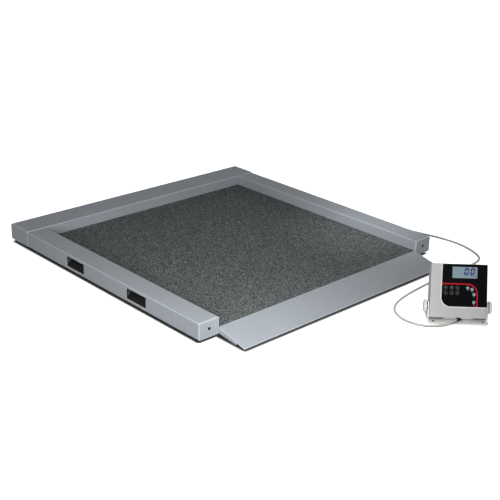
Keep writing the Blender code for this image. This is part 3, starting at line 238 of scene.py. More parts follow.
class Shader:
    """A small helper that builds one node material."""

    def __init__(self, name):
        self.material = bpy.data.materials.new(name)
        self.material.use_nodes = True
        self.tree = self.material.node_tree
        self.surface = self.tree.nodes["Principled BSDF"]
        self.place = self.node("ShaderNodeTexCoord").outputs["Object"]

    def node(self, kind, **values):
        """A new node, with its properties and inputs set by name."""
        made = self.tree.nodes.new(kind)
        for key, value in values.items():
            if hasattr(made, key):
                setattr(made, key, value)
            else:
                made.inputs[key.replace("_", " ")].default_value = value
        return made

    def link(self, output, target):
        self.tree.links.new(output, target)

    def set(self, **values):
        """Inputs of the surface shader, by name."""
        for key, value in values.items():
            self.surface.inputs[key.replace("_", " ")].default_value = value
        return self

    def noise(self, scale, detail=3.0, roughness=0.55, stretch=(1, 1, 1)):
        """A noise pattern in the piece's own coordinates."""
        mapping = self.node("ShaderNodeMapping")
        mapping.inputs["Scale"].default_value = stretch
        self.link(self.place, mapping.inputs["Vector"])
        noise = self.node("ShaderNodeTexNoise", Scale=scale, Detail=detail, Roughness=roughness)
        self.link(mapping.outputs["Vector"], noise.inputs["Vector"])
        return noise.outputs["Fac"]

    def cells(self, scale):
        """A cell pattern: (distance, colour)."""
        cells = self.node("ShaderNodeTexVoronoi", Scale=scale)
        self.link(self.place, cells.inputs["Vector"])
        return cells.outputs["Distance"], cells.outputs["Color"]

    def distance_outside(self, low, high, turn=0.0):
        """How far a floor point lies outside a rectangle that is turned about its centre."""
        centre = ((low[0] + high[0]) / 2, (low[1] + high[1]) / 2, 0)
        half = ((high[0] - low[0]) / 2, (high[1] - low[1]) / 2, 0)
        turned = self.node("ShaderNodeVectorRotate", rotation_type="Z_AXIS", Center=centre, Angle=-turn)
        self.link(self.node("ShaderNodeNewGeometry").outputs["Position"], turned.inputs["Vector"])
        value = turned.outputs["Vector"]
        steps = (("SUBTRACT", centre), ("ABSOLUTE", None), ("SUBTRACT", half), ("MAXIMUM", None))
        for operation, other in steps:
            step = self.node("ShaderNodeVectorMath", operation=operation)
            if other:
                step.inputs[1].default_value = other
            self.link(value, step.inputs[0])
            value = step.outputs["Vector"]
        length = self.node("ShaderNodeVectorMath", operation="LENGTH")
        self.link(value, length.inputs[0])
        return length.outputs["Value"]

    def smaller(self, first, second):
        """The smaller of two values."""
        node = self.node("ShaderNodeMath", operation="MINIMUM")
        self.link(first, node.inputs[0])
        self.link(second, node.inputs[1])
        return node.outputs["Value"]

    def span(self, source, start, end, low=0.0, high=1.0, kind="LINEAR"):
        """A value taken from the range start to end into the range low to high."""
        span = self.node("ShaderNodeMapRange", interpolation_type=kind)
        span.inputs["From Min"].default_value = start
        span.inputs["From Max"].default_value = end
        span.inputs["To Min"].default_value = low
        span.inputs["To Max"].default_value = high
        self.link(source, span.inputs["Value"])
        return span.outputs["Result"]

    def ramp(self, source, *stops):
        """A colour ramp. Each stop is (place, colour or grey value)."""
        ramp = self.node("ShaderNodeValToRGB")
        elements = ramp.color_ramp.elements
        while len(elements) < len(stops):
            elements.new(0.5)
        for element, (place, colour) in zip(elements, stops):
            element.position = place
            grey = isinstance(colour, (int, float))
            element.color = (colour, colour, colour, 1) if grey else (*colour, 1)
        self.link(source, ramp.inputs["Fac"])
        return ramp.outputs["Color"]

    def mix(self, share, first, second, mode="MIX"):
        """Two colours mixed. share, first and second are sockets, colours or numbers."""
        mix = self.node("ShaderNodeMix", data_type="RGBA", blend_type=mode)
        for index, value in ((0, share), (6, first), (7, second)):
            if isinstance(value, bpy.types.NodeSocket):
                self.link(value, mix.inputs[index])
            elif index == 0:
                mix.inputs[index].default_value = value
            else:
                mix.inputs[index].default_value = (*value, 1)
        return mix.outputs[2]

    def colour(self, source):
        self.link(source, self.surface.inputs["Base Color"])
        return self

    def rough(self, source, low, high):
        """Roughness that follows a pattern between two values."""
        self.link(self.span(source, 0.0, 1.0, low, high), self.surface.inputs["Roughness"])
        return self

    def rounded(self, radius):
        """The surface's normal, with every edge rounded."""
        soft = self.node("ShaderNodeBevel", Radius=radius)
        soft.samples = BEVEL_SAMPLES
        return soft.outputs["Normal"]

    def edges(self, radius):
        """A mask that is 1 on outer edges, for a painted highlight along them."""
        likeness = self.node("ShaderNodeVectorMath", operation="DOT_PRODUCT")
        self.link(self.rounded(radius), likeness.inputs[0])
        self.link(self.node("ShaderNodeNewGeometry").outputs["Normal"], likeness.inputs[1])
        return self.span(likeness.outputs["Value"], *EDGE_LIKENESS)

    def bump(self, source, distance, strength=1.0, rounding=0.0):
        """Relief from a pattern, over edges softened by a rounding."""
        bump = self.node("ShaderNodeBump", Strength=strength, Distance=distance)
        if rounding:
            self.link(self.rounded(rounding), bump.inputs["Normal"])
        self.link(source, bump.inputs["Height"])
        self.link(bump.outputs["Normal"], self.surface.inputs["Normal"])
        return self


def painted_steel():
    """Grey metallic paint with fine flakes, a faint orange-peel surface and a painted highlight along its edges.
    """
    look = Shader("painted_steel").set(Metallic=0.3, Coat_Weight=0.1, Coat_Roughness=0.4)
    _, flake_colour = look.cells(1400.0)
    cloud = look.noise(5.0, 4.0)
    tone = look.ramp(cloud, (0.3, (0.312, 0.338, 0.368)), (0.7, (0.332, 0.360, 0.392)))
    flake = look.ramp(flake_colour, (0.2, 0.86), (0.9, 1.12))
    body = look.mix(1.0, tone, flake, "MULTIPLY")
    # The lighter colour on the outer edges is a painted highlight.
    look.colour(look.mix(look.edges(0.0028), body, (0.62, 0.66, 0.70)))
    look.rough(look.noise(30.0), 0.34, 0.46)
    return look.bump(look.noise(700.0, 2.0), 0.0001, 0.25, 0.0016).material


def speckled_mat():
    """Dark rubber mat with a dense grain of lighter specks."""
    look = Shader("speckled_mat").set(Roughness=0.9, Specular_IOR_Level=0.25)
    grain = look.noise(400.0, 4.0, 0.7)
    coarse = look.noise(140.0, 2.0, 0.6)
    base = look.ramp(
        grain,
        (0.36, (0.014, 0.0155, 0.016)),
        (0.5, (0.050, 0.054, 0.055)),
        (0.62, (0.19, 0.20, 0.20)),
    )
    tint = look.ramp(coarse, (0.38, (0.90, 1.0, 1.04)), (0.62, (1.06, 1.03, 0.98)))
    tinted = look.mix(1.0, base, tint, "MULTIPLY")
    distance, crumb = look.cells(290.0)
    shades = look.ramp(crumb, (0.22, 0.54), (0.5, 0.95), (0.78, 1.52))
    crumbs = look.mix(1.0, tinted, shades, "MULTIPLY")
    speck = look.ramp(distance, (0.10, 1.0), (0.24, 0.0))
    look.colour(look.mix(speck, crumbs, (0.42, 0.45, 0.44)))
    return look.bump(grain, 0.0012, 0.9).material


def plastic(name, colour, rough, specular=0.5, grain=900.0, relief=0.00006):
    """Moulded plastic with a fine grain."""
    look = Shader(name).set(Specular_IOR_Level=specular)
    cloud = look.noise(14.0, 3.0)
    dark = tuple(0.94 * part for part in colour)
    look.colour(look.ramp(cloud, (0.3, dark), (0.7, colour)))
    texture = look.noise(grain, 2.0)
    look.rough(texture, *rough)
    return look.bump(texture, relief, 0.5).material


def cord_jacket(name, colour, shaded):
    """Soft cord jacket whose underside is greyer, as the floor keeps the light from it."""
    look = Shader(name)
    parts = look.node("ShaderNodeSeparateXYZ")
    look.link(look.node("ShaderNodeNewGeometry").outputs["Normal"], parts.inputs[0])
    upward = look.span(parts.outputs["Z"], -0.5, 0.8)
    look.colour(look.ramp(upward, (0.0, shaded), (1.0, colour)))
    texture = look.noise(700.0, 2.0)
    look.rough(texture, 0.42, 0.52)
    return look.bump(texture, 0.00006, 0.5).material


def metal(name, colour, rough=(0.25, 0.4), stretch=(1, 1, 14)):
    """Bare or plated metal with fine drawn lines."""
    look = Shader(name).set(Metallic=1.0)
    lines = look.noise(120.0, 4.0, 0.6, stretch)
    dark = tuple(0.8 * part for part in colour)
    look.colour(look.ramp(lines, (0.3, dark), (0.7, colour)))
    look.rough(lines, *rough)
    return look.bump(lines, 0.00005, 0.4).material


# Each plastic's colour and roughness, and then its specular level, grain and relief.
PLASTICS = {
    "black_plastic": ((0.007, 0.007, 0.0075), (0.5, 0.62), 0.25),
    "case_shell": ((0.40, 0.392, 0.394), (0.42, 0.5)),
    # The next colour is lighter than the shell: a painted highlight on the overlay's raised rim.
    "shell_rim_highlight": ((0.66, 0.655, 0.65), (0.35, 0.42)),
    "bracket_paint": ((0.80, 0.795, 0.785), (0.3, 0.38)),
    # The next colour is lighter than the bracket: a painted highlight on the base's front lip.
    "bracket_lip_highlight": ((0.86, 0.855, 0.85), (0.3, 0.4)),
    "gasket": ((0.030, 0.042, 0.055), (0.4, 0.55)),
    "overlay_film": ((0.0015, 0.0017, 0.0024), (0.22, 0.30), 0.1, 500.0, 0.00002),
    "display_lens": ((0.18, 0.255, 0.30), (0.25, 0.32), 0.5, 300.0, 0.00001),
    "display_ink": ((0.015, 0.010, 0.12), (0.4, 0.5), 0.1),
    "display_edge": ((0.26, 0.34, 0.38), (0.3, 0.4)),
    "red_print": ((0.42, 0.004, 0.020), (0.4, 0.5), 0.15),
    "key_print": ((0.22, 0.23, 0.24), (0.4, 0.5)),
    "key_rim": ((0.045, 0.047, 0.05), (0.35, 0.45)),
    "knob_cap": ((0.56, 0.57, 0.60), (0.25, 0.35)),
    # The next colour is painted light: the lit side of a hand slot's inner wall.
    "slot_wall_lit_side": ((0.05, 0.052, 0.054), (0.45, 0.55)),
    "wheel_hub": ((0.22, 0.22, 0.23), (0.35, 0.45)),
    "cell_label": ((0.70, 0.70, 0.68), (0.3, 0.4)),
    # The next colour is painted shade: the near-black of a hole's dark inside.
    "hole_shade_black": ((0.002, 0.002, 0.002), (0.8, 0.9), 0.05),
    "chip": ((0.025, 0.025, 0.028), (0.35, 0.45)),
    "display_glass": ((0.28, 0.36, 0.42), (0.2, 0.3)),
    "dark_key": ((0.0045, 0.0045, 0.005), (0.32, 0.4), 0.15),
    "grey_key": ((0.24, 0.28, 0.32), (0.3, 0.4)),
    "clear_knob": ((0.64, 0.645, 0.68), (0.2, 0.3)),
    "dark_hub": ((0.02, 0.03, 0.07), (0.3, 0.4)),
    "black_rubber": ((0.022, 0.022, 0.022), (0.7, 0.85), 0.5, 500.0, 0.0002),
    "circuit_board": ((0.02, 0.15, 0.06), (0.35, 0.5)),
    "battery_wrap": ((0.05, 0.09, 0.24), (0.25, 0.35)),
    "lead_jacket": ((0.24, 0.24, 0.25), (0.45, 0.55)),
}
# Each metal's colour and roughness.
METALS = {
    "black_screw": ((0.06, 0.065, 0.07), (0.35, 0.5)),
    "zinc_steel": ((0.62, 0.62, 0.63),),
    "cell_aluminium": ((0.74, 0.75, 0.77),),
}


def make_materials():
    """Every material, by name. The record's slots are among them."""
    jacket = cord_jacket("cable_jacket", (0.50, 0.492, 0.46), (0.12, 0.115, 0.10))
    materials = {"painted_steel": painted_steel(), "mat": speckled_mat(), "cable_jacket": jacket}
    for name, values in PLASTICS.items():
        materials[name] = plastic(name, *values)
    for name, values in METALS.items():
        materials[name] = metal(name, *values)
    return materials


MATERIALS = make_materials()


def finish_cad_nodes():
    """Gives each carried-over CAD node its slot's material."""
    for entry in frame["record"]["subparts"]:
        node = frame["nodes"][entry["node"]]
        node.data.materials.clear()
        node.data.materials.append(MATERIALS[entry["material_slot"]])


# --- Shapes ---
def framed(origin, x, y, z):
    """The matrix of a local frame."""
    return Matrix.Translation(origin) @ Matrix((x, y, z)).transposed().to_4x4()


def along_z_to(axis):
    """The turn that takes local z to an axis, with local x kept level."""
    z = Vector(axis).normalized()
    x = Vector((0, 1, 0)) if abs(z.z) > 0.9 else UP.cross(z).normalized()
    return Matrix((x, z.cross(x), z)).transposed().to_4x4()


def add_box(shape, low, high, edge=0.0, segments=2):
    """A block with rounded edges."""
    made = bmesh.ops.create_cube(shape, size=1.0)["verts"]
    for vertex in made:
        for axis in range(3):
            middle = (low[axis] + high[axis]) / 2
            vertex.co[axis] = middle + vertex.co[axis] * (high[axis] - low[axis])
    if edge:
        edges = {edge for vertex in made for edge in vertex.link_edges}
        bmesh.ops.bevel(
            shape, geom=list(edges), offset=edge, segments=segments, profile=0.5, affect="EDGES"
        )


def add_plate(shape, outline, near, far):
    """A flat plate: an outline in local x and z, from one y to another."""
    front = [shape.verts.new((x, near, z)) for x, z in outline]
    back = [shape.verts.new((x, far, z)) for x, z in outline]
    shape.faces.new(front)
    shape.faces.new(back)
    for index in range(len(outline)):
        after = (index + 1) % len(outline)
        shape.faces.new((front[index], front[after], back[after], back[index]))


def add_line(shape, points, width, near, far):
    """A flat line of even width along points in local x and z, with mitred corners."""
    places = [Vector(point) for point in points]
    left, right = [], []
    for index, place in enumerate(places):
        before = places[max(index - 1, 0)]
        after = places[min(index + 1, len(places) - 1)]
        first = (place - before).normalized() if index else (after - place).normalized()
        second = (after - place).normalized() if index < len(places) - 1 else first
        normal = Vector((-first.y - second.y, first.x + second.x)).normalized()
        across = Vector((-first.y, first.x))
        reach = width / 2 / max(0.4, normal.dot(across))
        left.append(place + normal * reach)
        right.append(place - normal * reach)
    add_plate(shape, [tuple(point) for point in left + right[::-1]], near, far)


def add_circles(shape, profile, segments, place):
    """The corners of one circle about local z for each (radius, height)."""
    rings = []
    for radius, height in profile:
        ring = []
        for step in range(segments):
            angle = 2 * math.pi * step / segments
            spot = Vector((radius * math.cos(angle), radius * math.sin(angle), height))
            ring.append(shape.verts.new(place @ spot))
        rings.append(ring)
    return rings


def join_rings(shape, rings):
    """The faces between each ring of corners and the next."""
    for lower, upper in zip(rings, rings[1:]):
        for step in range(len(lower)):
            after = (step + 1) % len(lower)
            shape.faces.new((lower[step], lower[after], upper[after], upper[step]))


def close_ends(shape, rings):
    """A face across the first and the last ring."""
    shape.faces.new(rings[0])
    shape.faces.new(rings[-1])


def add_turned(shape, profile, segments=24, place=Matrix()):
    """A body turned about local z from a profile of (radius, height), closed at both ends."""
    rings = add_circles(shape, profile, segments, place)
    join_rings(shape, rings)
    close_ends(shape, rings)


def add_ring(shape, outer, inner, low, high, segments=28, place=Matrix(), edge=0.0002):
    """A ring about local z with chamfered rims."""
    profile = [
        (inner, low),
        (outer - edge, low),
        (outer, low + edge),
        (outer, high - edge),
        (outer - edge, high),
        (inner, high),
    ]
    rings = add_circles(shape, profile, segments, place)
    join_rings(shape, rings + rings[:1])


def add_ribs(shape, place, count, low, high, edge, start=0.0):
    """Blocks with rounded edges, turned about local z at even angles."""
    for step in range(count):
        rib = bmesh.new()
        add_box(rib, low, high, edge)
        rib.transform(place @ Matrix.Rotation(2 * math.pi * (step + start) / count, 4, "Z"))
        merge(shape, rib)


def add_screw(shape, radius, place):
    """A pan-head screw with a cross recess, its head standing on local z = 0."""
    height = 0.55 * radius
    head = [(radius, 0), (radius, 0.4 * height), (0.86 * radius, 0.8 * height), (0.55 * radius, height)]
    add_turned(shape, head, 20, place)
    made = bmesh.new()
    slot, bar = 0.11 * radius, 0.52 * radius
    add_box(made, (-bar, -slot, height), (bar, slot, 1.10 * height))
    add_box(made, (-slot, -bar, height), (slot, bar, 1.101 * height))
    made.transform(place)
    merge(shape, made)


def merge(shape, other):
    """Adds one shape's bodies to another."""
    mesh = bpy.data.meshes.new("merged")
    other.to_mesh(mesh)
    other.free()
    shape.from_mesh(mesh)
    bpy.data.meshes.remove(mesh)


def put(name, shape, material, body, place=None, smooth=math.radians(35)):
    """Places a shape and lets it ride on a body."""
    if place is not None:
        shape.transform(place)
    piece = new_piece(name, shape, material, smooth)
    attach(piece, body)
    return piece


def put_print(name, shape, material, body="display_case"):
    """Places a flat print, given in the display unit's own frame."""
    put(name, shape, material, body, CASE, None)


def arc(centre, radius, start, end, steps):
    """Points on an arc, with its angles in degrees."""
    angles = [math.radians(start + (end - start) * step / steps) for step in range(steps + 1)]
    return [(centre[0] + radius * math.cos(a), centre[1] + radius * math.sin(a)) for a in angles]


def new_piece(name, shape, material, smooth=math.radians(35)):
    """An object from a bmesh, with its named material and its shading."""
    bmesh.ops.recalc_face_normals(shape, faces=shape.faces)
    mesh = bpy.data.meshes.new(name)
    shape.to_mesh(mesh)
    shape.free()
    mesh.materials.append(MATERIALS[material])
    piece = bpy.data.objects.new(name, mesh)
    bpy.context.scene.collection.objects.link(piece)
    if smooth:
        mesh.shade_smooth()
        mesh.set_sharp_from_angle(angle=smooth)
    return piece


# --- Cable ---
CABLE_RADIUS = 0.00325
CABLE_GAP = 0.0003
CABLE_ON_FLOOR = CABLE_RADIUS + CABLE_GAP
CABLE_SIDES = 18
CABLE_STEP = 0.005
CURVE_STEPS = 40
CABLE_ROUTE = (
    (0.494, 0.2150, 0.0272),
    (0.514, 0.2100, 0.0215),
    (0.532, 0.1970, 0.0135),
    (0.547, 0.1780, 0.0072),
    (0.559, 0.1500, CABLE_ON_FLOOR),
    (0.568, 0.1180, CABLE_ON_FLOOR),
    (0.581, 0.0640, CABLE_ON_FLOOR),
    (0.588, 0.0080, CABLE_ON_FLOOR),
    (0.583, -0.0450, CABLE_ON_FLOOR),
    (0.564, -0.0960, CABLE_ON_FLOOR),
    (0.540, -0.1270, CABLE_ON_FLOOR),
    (0.502, -0.1400, CABLE_ON_FLOOR),
    (0.440, -0.1420, CABLE_ON_FLOOR),
    (0.360, -0.1400, CABLE_ON_FLOOR),
    (0.284, -0.1410, CABLE_ON_FLOOR),
    (0.219, -0.1460, CABLE_ON_FLOOR),
    (0.170, -0.1510, CABLE_ON_FLOOR),
    (0.128, -0.1590, CABLE_ON_FLOOR),
    (0.090, -0.1730, CABLE_ON_FLOOR),
    (0.060, -0.1960, CABLE_ON_FLOOR),
    (0.042, -0.2300, CABLE_ON_FLOOR),
    (0.039, -0.2640, CABLE_ON_FLOOR),
    (0.050, -0.2980, CABLE_ON_FLOOR),
    (0.072, -0.3220, CABLE_ON_FLOOR),
    (0.098, -0.3372, 0.0050),
    (0.117, -0.3421, 0.0088),
)


def smooth_path(points, step):
    """Points at even steps along the smooth (Catmull-Rom) curve through the given ones."""
    places = [Vector(point) for point in points]
    places = [2 * places[0] - places[1], *places, 2 * places[-1] - places[-2]]
    fine = []
    for first, second, third, fourth in zip(places, places[1:], places[2:], places[3:]):
        for index in range(CURVE_STEPS):
            t = index / CURVE_STEPS
            fine.append(
                0.5
                * (
                    2 * second
                    + (third - first) * t
                    + (2 * first - 5 * second + 4 * third - fourth) * t**2
                    + (3 * second - first - 3 * third + fourth) * t**3
                )
            )
    fine.append(places[-2])
    lengths = [0.0]
    for before, after in zip(fine, fine[1:]):
        lengths.append(lengths[-1] + (after - before).length)
    count = round(lengths[-1] / step)
    path, index = [], 0
    for number in range(count + 1):
        wanted = lengths[-1] * number / count
        while index < len(fine) - 2 and lengths[index + 1] < wanted:
            index += 1
        share = (wanted - lengths[index]) / (lengths[index + 1] - lengths[index])
        path.append(fine[index].lerp(fine[index + 1], share))
    return path


def tube(name, path, radius, sides, material):
    """A closed round tube along a path."""
    shape = bmesh.new()
    rings = []
    side = UP.cross(path[1] - path[0]).normalized()
    for index, place in enumerate(path):
        before, after = path[max(index - 1, 0)], path[min(index + 1, len(path) - 1)]
        ahead = (after - before).normalized()
        side = (side - ahead * side.dot(ahead)).normalized()
        up = ahead.cross(side)
        ring = []
        for step in range(sides):
            angle = 2 * math.pi * step / sides
            spot = place + radius * (side * math.cos(angle) + up * math.sin(angle))
            ring.append(shape.verts.new(spot))
        rings.append(ring)
    join_rings(shape, rings)
    close_ends(shape, rings)
    return new_piece(name, shape, material, math.radians(60))


def make_cable():
    """The cable from the platform's gland to the gland under the display case."""
    start = centre_of("platform_gland")
    start.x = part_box("platform_gland")[1][0] + CABLE_GAP
    end = centre_of("case_gland")
    end.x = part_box("case_gland")[0][0] - CABLE_GAP
    path = smooth_path([start, *(from_platform(*point) for point in CABLE_ROUTE), end], CABLE_STEP)
    cable = tube("cable", path, CABLE_RADIUS, CABLE_SIDES, "cable_jacket")
    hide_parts("platform_cable")
    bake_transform(cable)


# --- Display unit: face ---
CASE = framed(TILT_AT, CASE_X, CASE_Y, CASE_Z)
FILM_FRONT = -0.0172
FILM_LEFT = -0.0459
FILM_BOTTOM = 0.0007
FILM_CORNER = 0.024
SHELL_FRONT = -0.0173
SHELL_HALF_WIDTH = 0.0752
SHELL_BOTTOM = -0.0289
SHELL_TOP = 0.1127
SHELL_TAPER = 0.026
SHELL_BACK = 0.0226
BACK_SCREW_OUT = 0.062
BACK_SCREW_ROWS = (0.0085, 0.0660)
PRINT = 0.00006
FILM_PRINT = (FILM_FRONT - PRINT, FILM_FRONT + PRINT)
SEGMENT_GAP = 0.00018
MARK_HEIGHT = 0.1032
KEY_FRONT = -0.0176
KEY_COLUMNS = (-0.0350, -0.0196, -0.0043)
KEY_ROWS = (0.0503, 0.0367)
LABEL_DROP = 0.0072
SIDE_KEYS = ((0.0225, 0.0507), (0.0338, 0.0471), (0.0392, 0.0339), (0.0394, 0.0133))
DIGIT_LEFTS = (0.0108, 0.0266)
DIGIT_BOTTOM = 0.0836
DIGIT_SIZE = (0.0112, 0.0198)
DIGIT_STROKE = 0.0036
DIGIT_SLANT = math.tan(math.radians(8))
# The two corners of each segment, as shares of the digit's width and height.
SEGMENTS = (
    ((0, 1), (1, 1)),
    ((1, 0.5), (1, 1)),
    ((1, 0), (1, 0.5)),
    ((0, 0), (1, 0)),
    ((0, 0), (0, 0.5)),
    ((0, 0.5), (0, 1)),
)


def add_segment(shape, start, end, stroke, slant_from):
    """One pointed segment of a digit, slanted with the digit."""
    start, end = Vector(start), Vector(end)
    ahead = (end - start).normalized()
    across = Vector((-ahead.y, ahead.x)) * stroke / 2
    start, end = start + ahead * SEGMENT_GAP, end - ahead * SEGMENT_GAP
    step = ahead * stroke / 2
    corners = [
        start,
        start + step + across,
        end - step + across,
        end,
        end - step - across,
        start + step - across,
    ]
    outline = [(x + (z - slant_from) * DIGIT_SLANT, z) for x, z in corners]
    add_plate(shape, outline, *FILM_PRINT)


def make_display():
    """The lit segments of the display and its small marks."""
    shape = bmesh.new()
    width, height = DIGIT_SIZE
    inset = DIGIT_STROKE / 2
    for left in DIGIT_LEFTS:
        for first, second in SEGMENTS:
            ends = [
                (
                    left + inset + share_x * (width - 2 * inset),
                    DIGIT_BOTTOM + inset + share_z * (height - 2 * inset),
                )
                for share_x, share_z in (first, second)
            ]
            add_segment(shape, *ends, DIGIT_STROKE, DIGIT_BOTTOM)
    dot = ((0.0229, 0.0838), (0.0249, 0.0838), (0.0251, 0.0858), (0.0231, 0.0858))
    add_plate(shape, dot, *FILM_PRINT)
    put_print("display_digits", shape, "display_ink")

    shape = bmesh.new()
    for start, end in ((-0.0162, -0.0140), (-0.0132, -0.0118), (-0.0110, -0.0088)):
        add_line(shape, ((start, MARK_HEIGHT), (end, MARK_HEIGHT)), 0.0014, *FILM_PRINT)
    add_line(shape, ((0.0378, 0.0798), (0.0378, 0.0828)), 0.0007, *FILM_PRINT)
    arms = ((0.0394, 0.0818), (0.0379, 0.0808), (0.0395, 0.0798))
    ring = arc((0.0414, 0.0811), 0.0009, 0, 359, 16)
    tail = ((0.0424, 0.0820), (0.0424, 0.0800), (0.0417, 0.0795), (0.0408, 0.0797))
    for line in (arms, ring, tail):
        add_line(shape, line, 0.0006, *FILM_PRINT)
    put_print("display_marks", shape, "display_ink")

    shape = bmesh.new()
    low = (-0.0180, 0.0766)
    high = (0.0456, 0.1046)
    frame_line = (
        (low[0], low[1]),
        (high[0], low[1]),
        (high[0], high[1]),
        (low[0], high[1]),
        (low[0], low[1] + 0.0004),
    )
    add_line(shape, frame_line, 0.0009, *FILM_PRINT)
    put_print("display_border", shape, "display_edge")


def make_red_line():
    """The red line printed round the keys."""
    shape = bmesh.new()
    route = [
        (-0.0438, 0.0566),
        (-0.0438, 0.0588),
        *arc((-0.0421, 0.0588), 0.0017, 180, 90, 4)[1:],
        *arc((0.0216, 0.0345), 0.0260, 90, 0, 20),
        (0.0476, 0.0044),
        *arc((0.0458, 0.0044), 0.0018, 0, -90, 4)[1:],
        (0.0424, 0.0026),
    ]
    add_line(shape, route, 0.0033, *FILM_PRINT)
    put_print("red_line", shape, "red_print")


def key_prints():
    """The mark on each dark key, as lines and filled outlines about the key's centre."""
    up = ((-0.0016, -0.0011), (0.0016, -0.0011), (0, 0.0017))
    down = ((-0.0016, 0.0011), (0, -0.0017), (0.0016, 0.0011))
    glass_left = ((-0.0017, 0.0018), (-0.0017, 0.0012), (-0.0003, 0))
    glass_top = (*glass_left, *((-x, z) for x, z in glass_left[::-1]))
    glass_foot = tuple((x, -z) for x, z in glass_top)
    house = ((-0.0021, 0.0001), (0, 0.0020), (0.0021, 0.0001))
    walls = ((-0.0014, 0.0001), (-0.0014, -0.0017), (0.0014, -0.0017), (0.0014, 0.0001))
    letter = ((-0.0018, -0.0014), (-0.0018, 0.0014), (0, -0.0002), (0.0018, 0.0014), (0.0018, -0.0014))
    dash = 0.0022
    return {
        "key_row1_1": ((), (up,)),
        "key_row1_2": ((), (glass_top, glass_foot)),
        "key_row1_3": (
            (arc((0, 0), 0.0012, 0, 359, 14), ((-0.0037, 0), (-dash, 0)), ((dash, 0), (0.0037, 0))),
            (),
        ),
        "key_row2_1": ((), (down,)),
        "key_row2_2": ((house, walls), ()),
        "key_row2_3": ((letter,), ()),
    }


def make_key_prints():
    """Printed marks on the dark keys and small labels under the grey ones."""
    near, far = KEY_FRONT - PRINT, KEY_FRONT + PRINT
    for name, (lines, fills) in key_prints().items():
        row, column = int(name[7]) - 1, int(name[9]) - 1
        centre = Vector((KEY_COLUMNS[column], KEY_ROWS[row]))
        shape = bmesh.new()
        for line in lines:
            add_line(shape, [centre + Vector(point) for point in line], 0.0005, near, far)
        for fill in fills:
            add_plate(shape, [tuple(centre + Vector(point)) for point in fill], near, far)
        put_print(f"{name}_mark", shape, "key_print", f"{name}_button")
        shape = bmesh.new()
        rim = [centre + Vector(point) for point in arc((0, 0), 0.0047, 0, 359, 28)]
        add_line(shape, rim, 0.00035, near, far)
        put_print(f"{name}_rim", shape, "key_rim", f"{name}_button")
    for number, (x, z) in enumerate(SIDE_KEYS, 1):
        shape = bmesh.new()
        for offset, tall in ((-0.0019, 0.0015), (-0.0006, 0.0019), (0.0007, 0.0012), (0.0019, 0.0017)):
            line = ((x + offset, z - LABEL_DROP), (x + offset, z - LABEL_DROP + tall))
            add_line(shape, line, 0.00055, *FILM_PRINT)
        put_print(f"key_side_{number}_label", shape, "key_print")
        shape = bmesh.new()
        place = CASE @ Matrix.Translation((x, KEY_FRONT, z)) @ along_z_to((0, -1, 0))
        add_ring(shape, 0.0040, 0.0032, -0.0001, 0.00018, 24, place, 0.0001)
        put(f"key_side_{number}_rim", shape, "grey_key", f"key_side_{number}_button")


def narrowed(x, z):
    """A place on the case's face moved in with the case's taper towards its top."""
    return x * (1 - SHELL_TAPER * (z - SHELL_BOTTOM) / (SHELL_TOP - SHELL_BOTTOM))


def make_shell_details():
    """The raised rim round the overlay, coloured lighter than the shell as a painted highlight, the gaskets under
    the chin and the shell's crease.
    """
    shape = bmesh.new()
    offset = 0.0013
    left, bottom = FILM_LEFT - offset, FILM_BOTTOM - offset
    corner = (FILM_LEFT + FILM_CORNER, FILM_BOTTOM + FILM_CORNER)
    route = [
        (narrowed(left, SHELL_TOP - 0.001), SHELL_TOP - 0.001),
        (narrowed(left, 0.07), 0.07),
        *arc(corner, FILM_CORNER + offset, 180, 270, 14),
        (0.0738, bottom),
    ]
    add_line(shape, route, 0.0022, SHELL_FRONT - 0.0003, SHELL_FRONT + 0.0003)
    # The rim is coloured lighter than the shell as a painted highlight.
    put("overlay_rim", shape, "shell_rim_highlight", "display_case", CASE)

    for side, start, end in (("left", -0.0722, -0.0386), ("right", 0.0386, 0.0722)):
        shape = bmesh.new()
        add_box(shape, (start, -0.0163, -0.0311), (end, -0.0026, SHELL_BOTTOM + 0.0004), 0.0005)
        for step in range(9):
            x = start + (end - start) * (step + 0.5) / 9
            add_box(shape, (x - 0.0006, -0.0166, -0.0308), (x + 0.0006, -0.0161, -0.0290), 0.0001)
        put(f"chin_gasket_{side}", shape, "gasket", "display_case", CASE)

    shape = bmesh.new()
    for z in (-0.0135, -0.0128):
        half = narrowed(SHELL_HALF_WIDTH, z) - 0.0015
        line = ((-half, z), (half, z))
        add_line(shape, line, 0.0003, SHELL_FRONT - 0.00004, SHELL_FRONT + 0.0001)
    put("shell_crease", shape, "case_shell", "display_case", CASE)


# --- Display unit: back, knobs, gland and bracket ---
def on_case(x, y, z, axis):
    """A local frame on the case, with local z along an axis of the case."""
    return CASE @ Matrix.Translation((x, y, z)) @ along_z_to(axis)


def make_case_back_details():
    """Screws in their seats, ribs beside the battery cover, and the cover's border and grip."""
    seats, screws = bmesh.new(), bmesh.new()
    for side in (-1, 1):
        for z in BACK_SCREW_ROWS:
            place = on_case(side * BACK_SCREW_OUT, SHELL_BACK, z, (0, 1, 0))
            add_ring(seats, 0.0046, 0.0034, -0.0001, 0.0005, 24, place)
            add_screw(screws, 0.0026, place)
    put("back_screw_seats", seats, "case_shell", "display_case")
    put("back_screws", screws, "zinc_steel", "display_case")
    near = SHELL_BACK - 0.0002
    shape = bmesh.new()
    for step in range(6):
        z = 0.0475 + 0.0024 * step
        add_box(shape, (-0.014, near, z), (0.014, SHELL_BACK + 0.0006, z + 0.0011), 0.0003)
    left, right = -0.0330, 0.0330
    low, high = 0.0183, 0.0643
    border = ((left, low), (right, low), (right, high), (left, high), (left, low + 0.0005))
    add_line(shape, border, 0.0008, near, SHELL_BACK + 0.0003)
    put("battery_door_grip", shape, "case_shell", "battery_cover", CASE)
    shape = bmesh.new()
    for x in (-0.056, 0.046):
        for step in range(5):
            z = 0.0250 + 0.0055 * step
            add_box(shape, (x, near, z), (x + 0.010, SHELL_BACK + 0.0004, z + 0.0014), 0.0003)
    put("back_ribs", shape, "case_shell", "display_case", CASE)


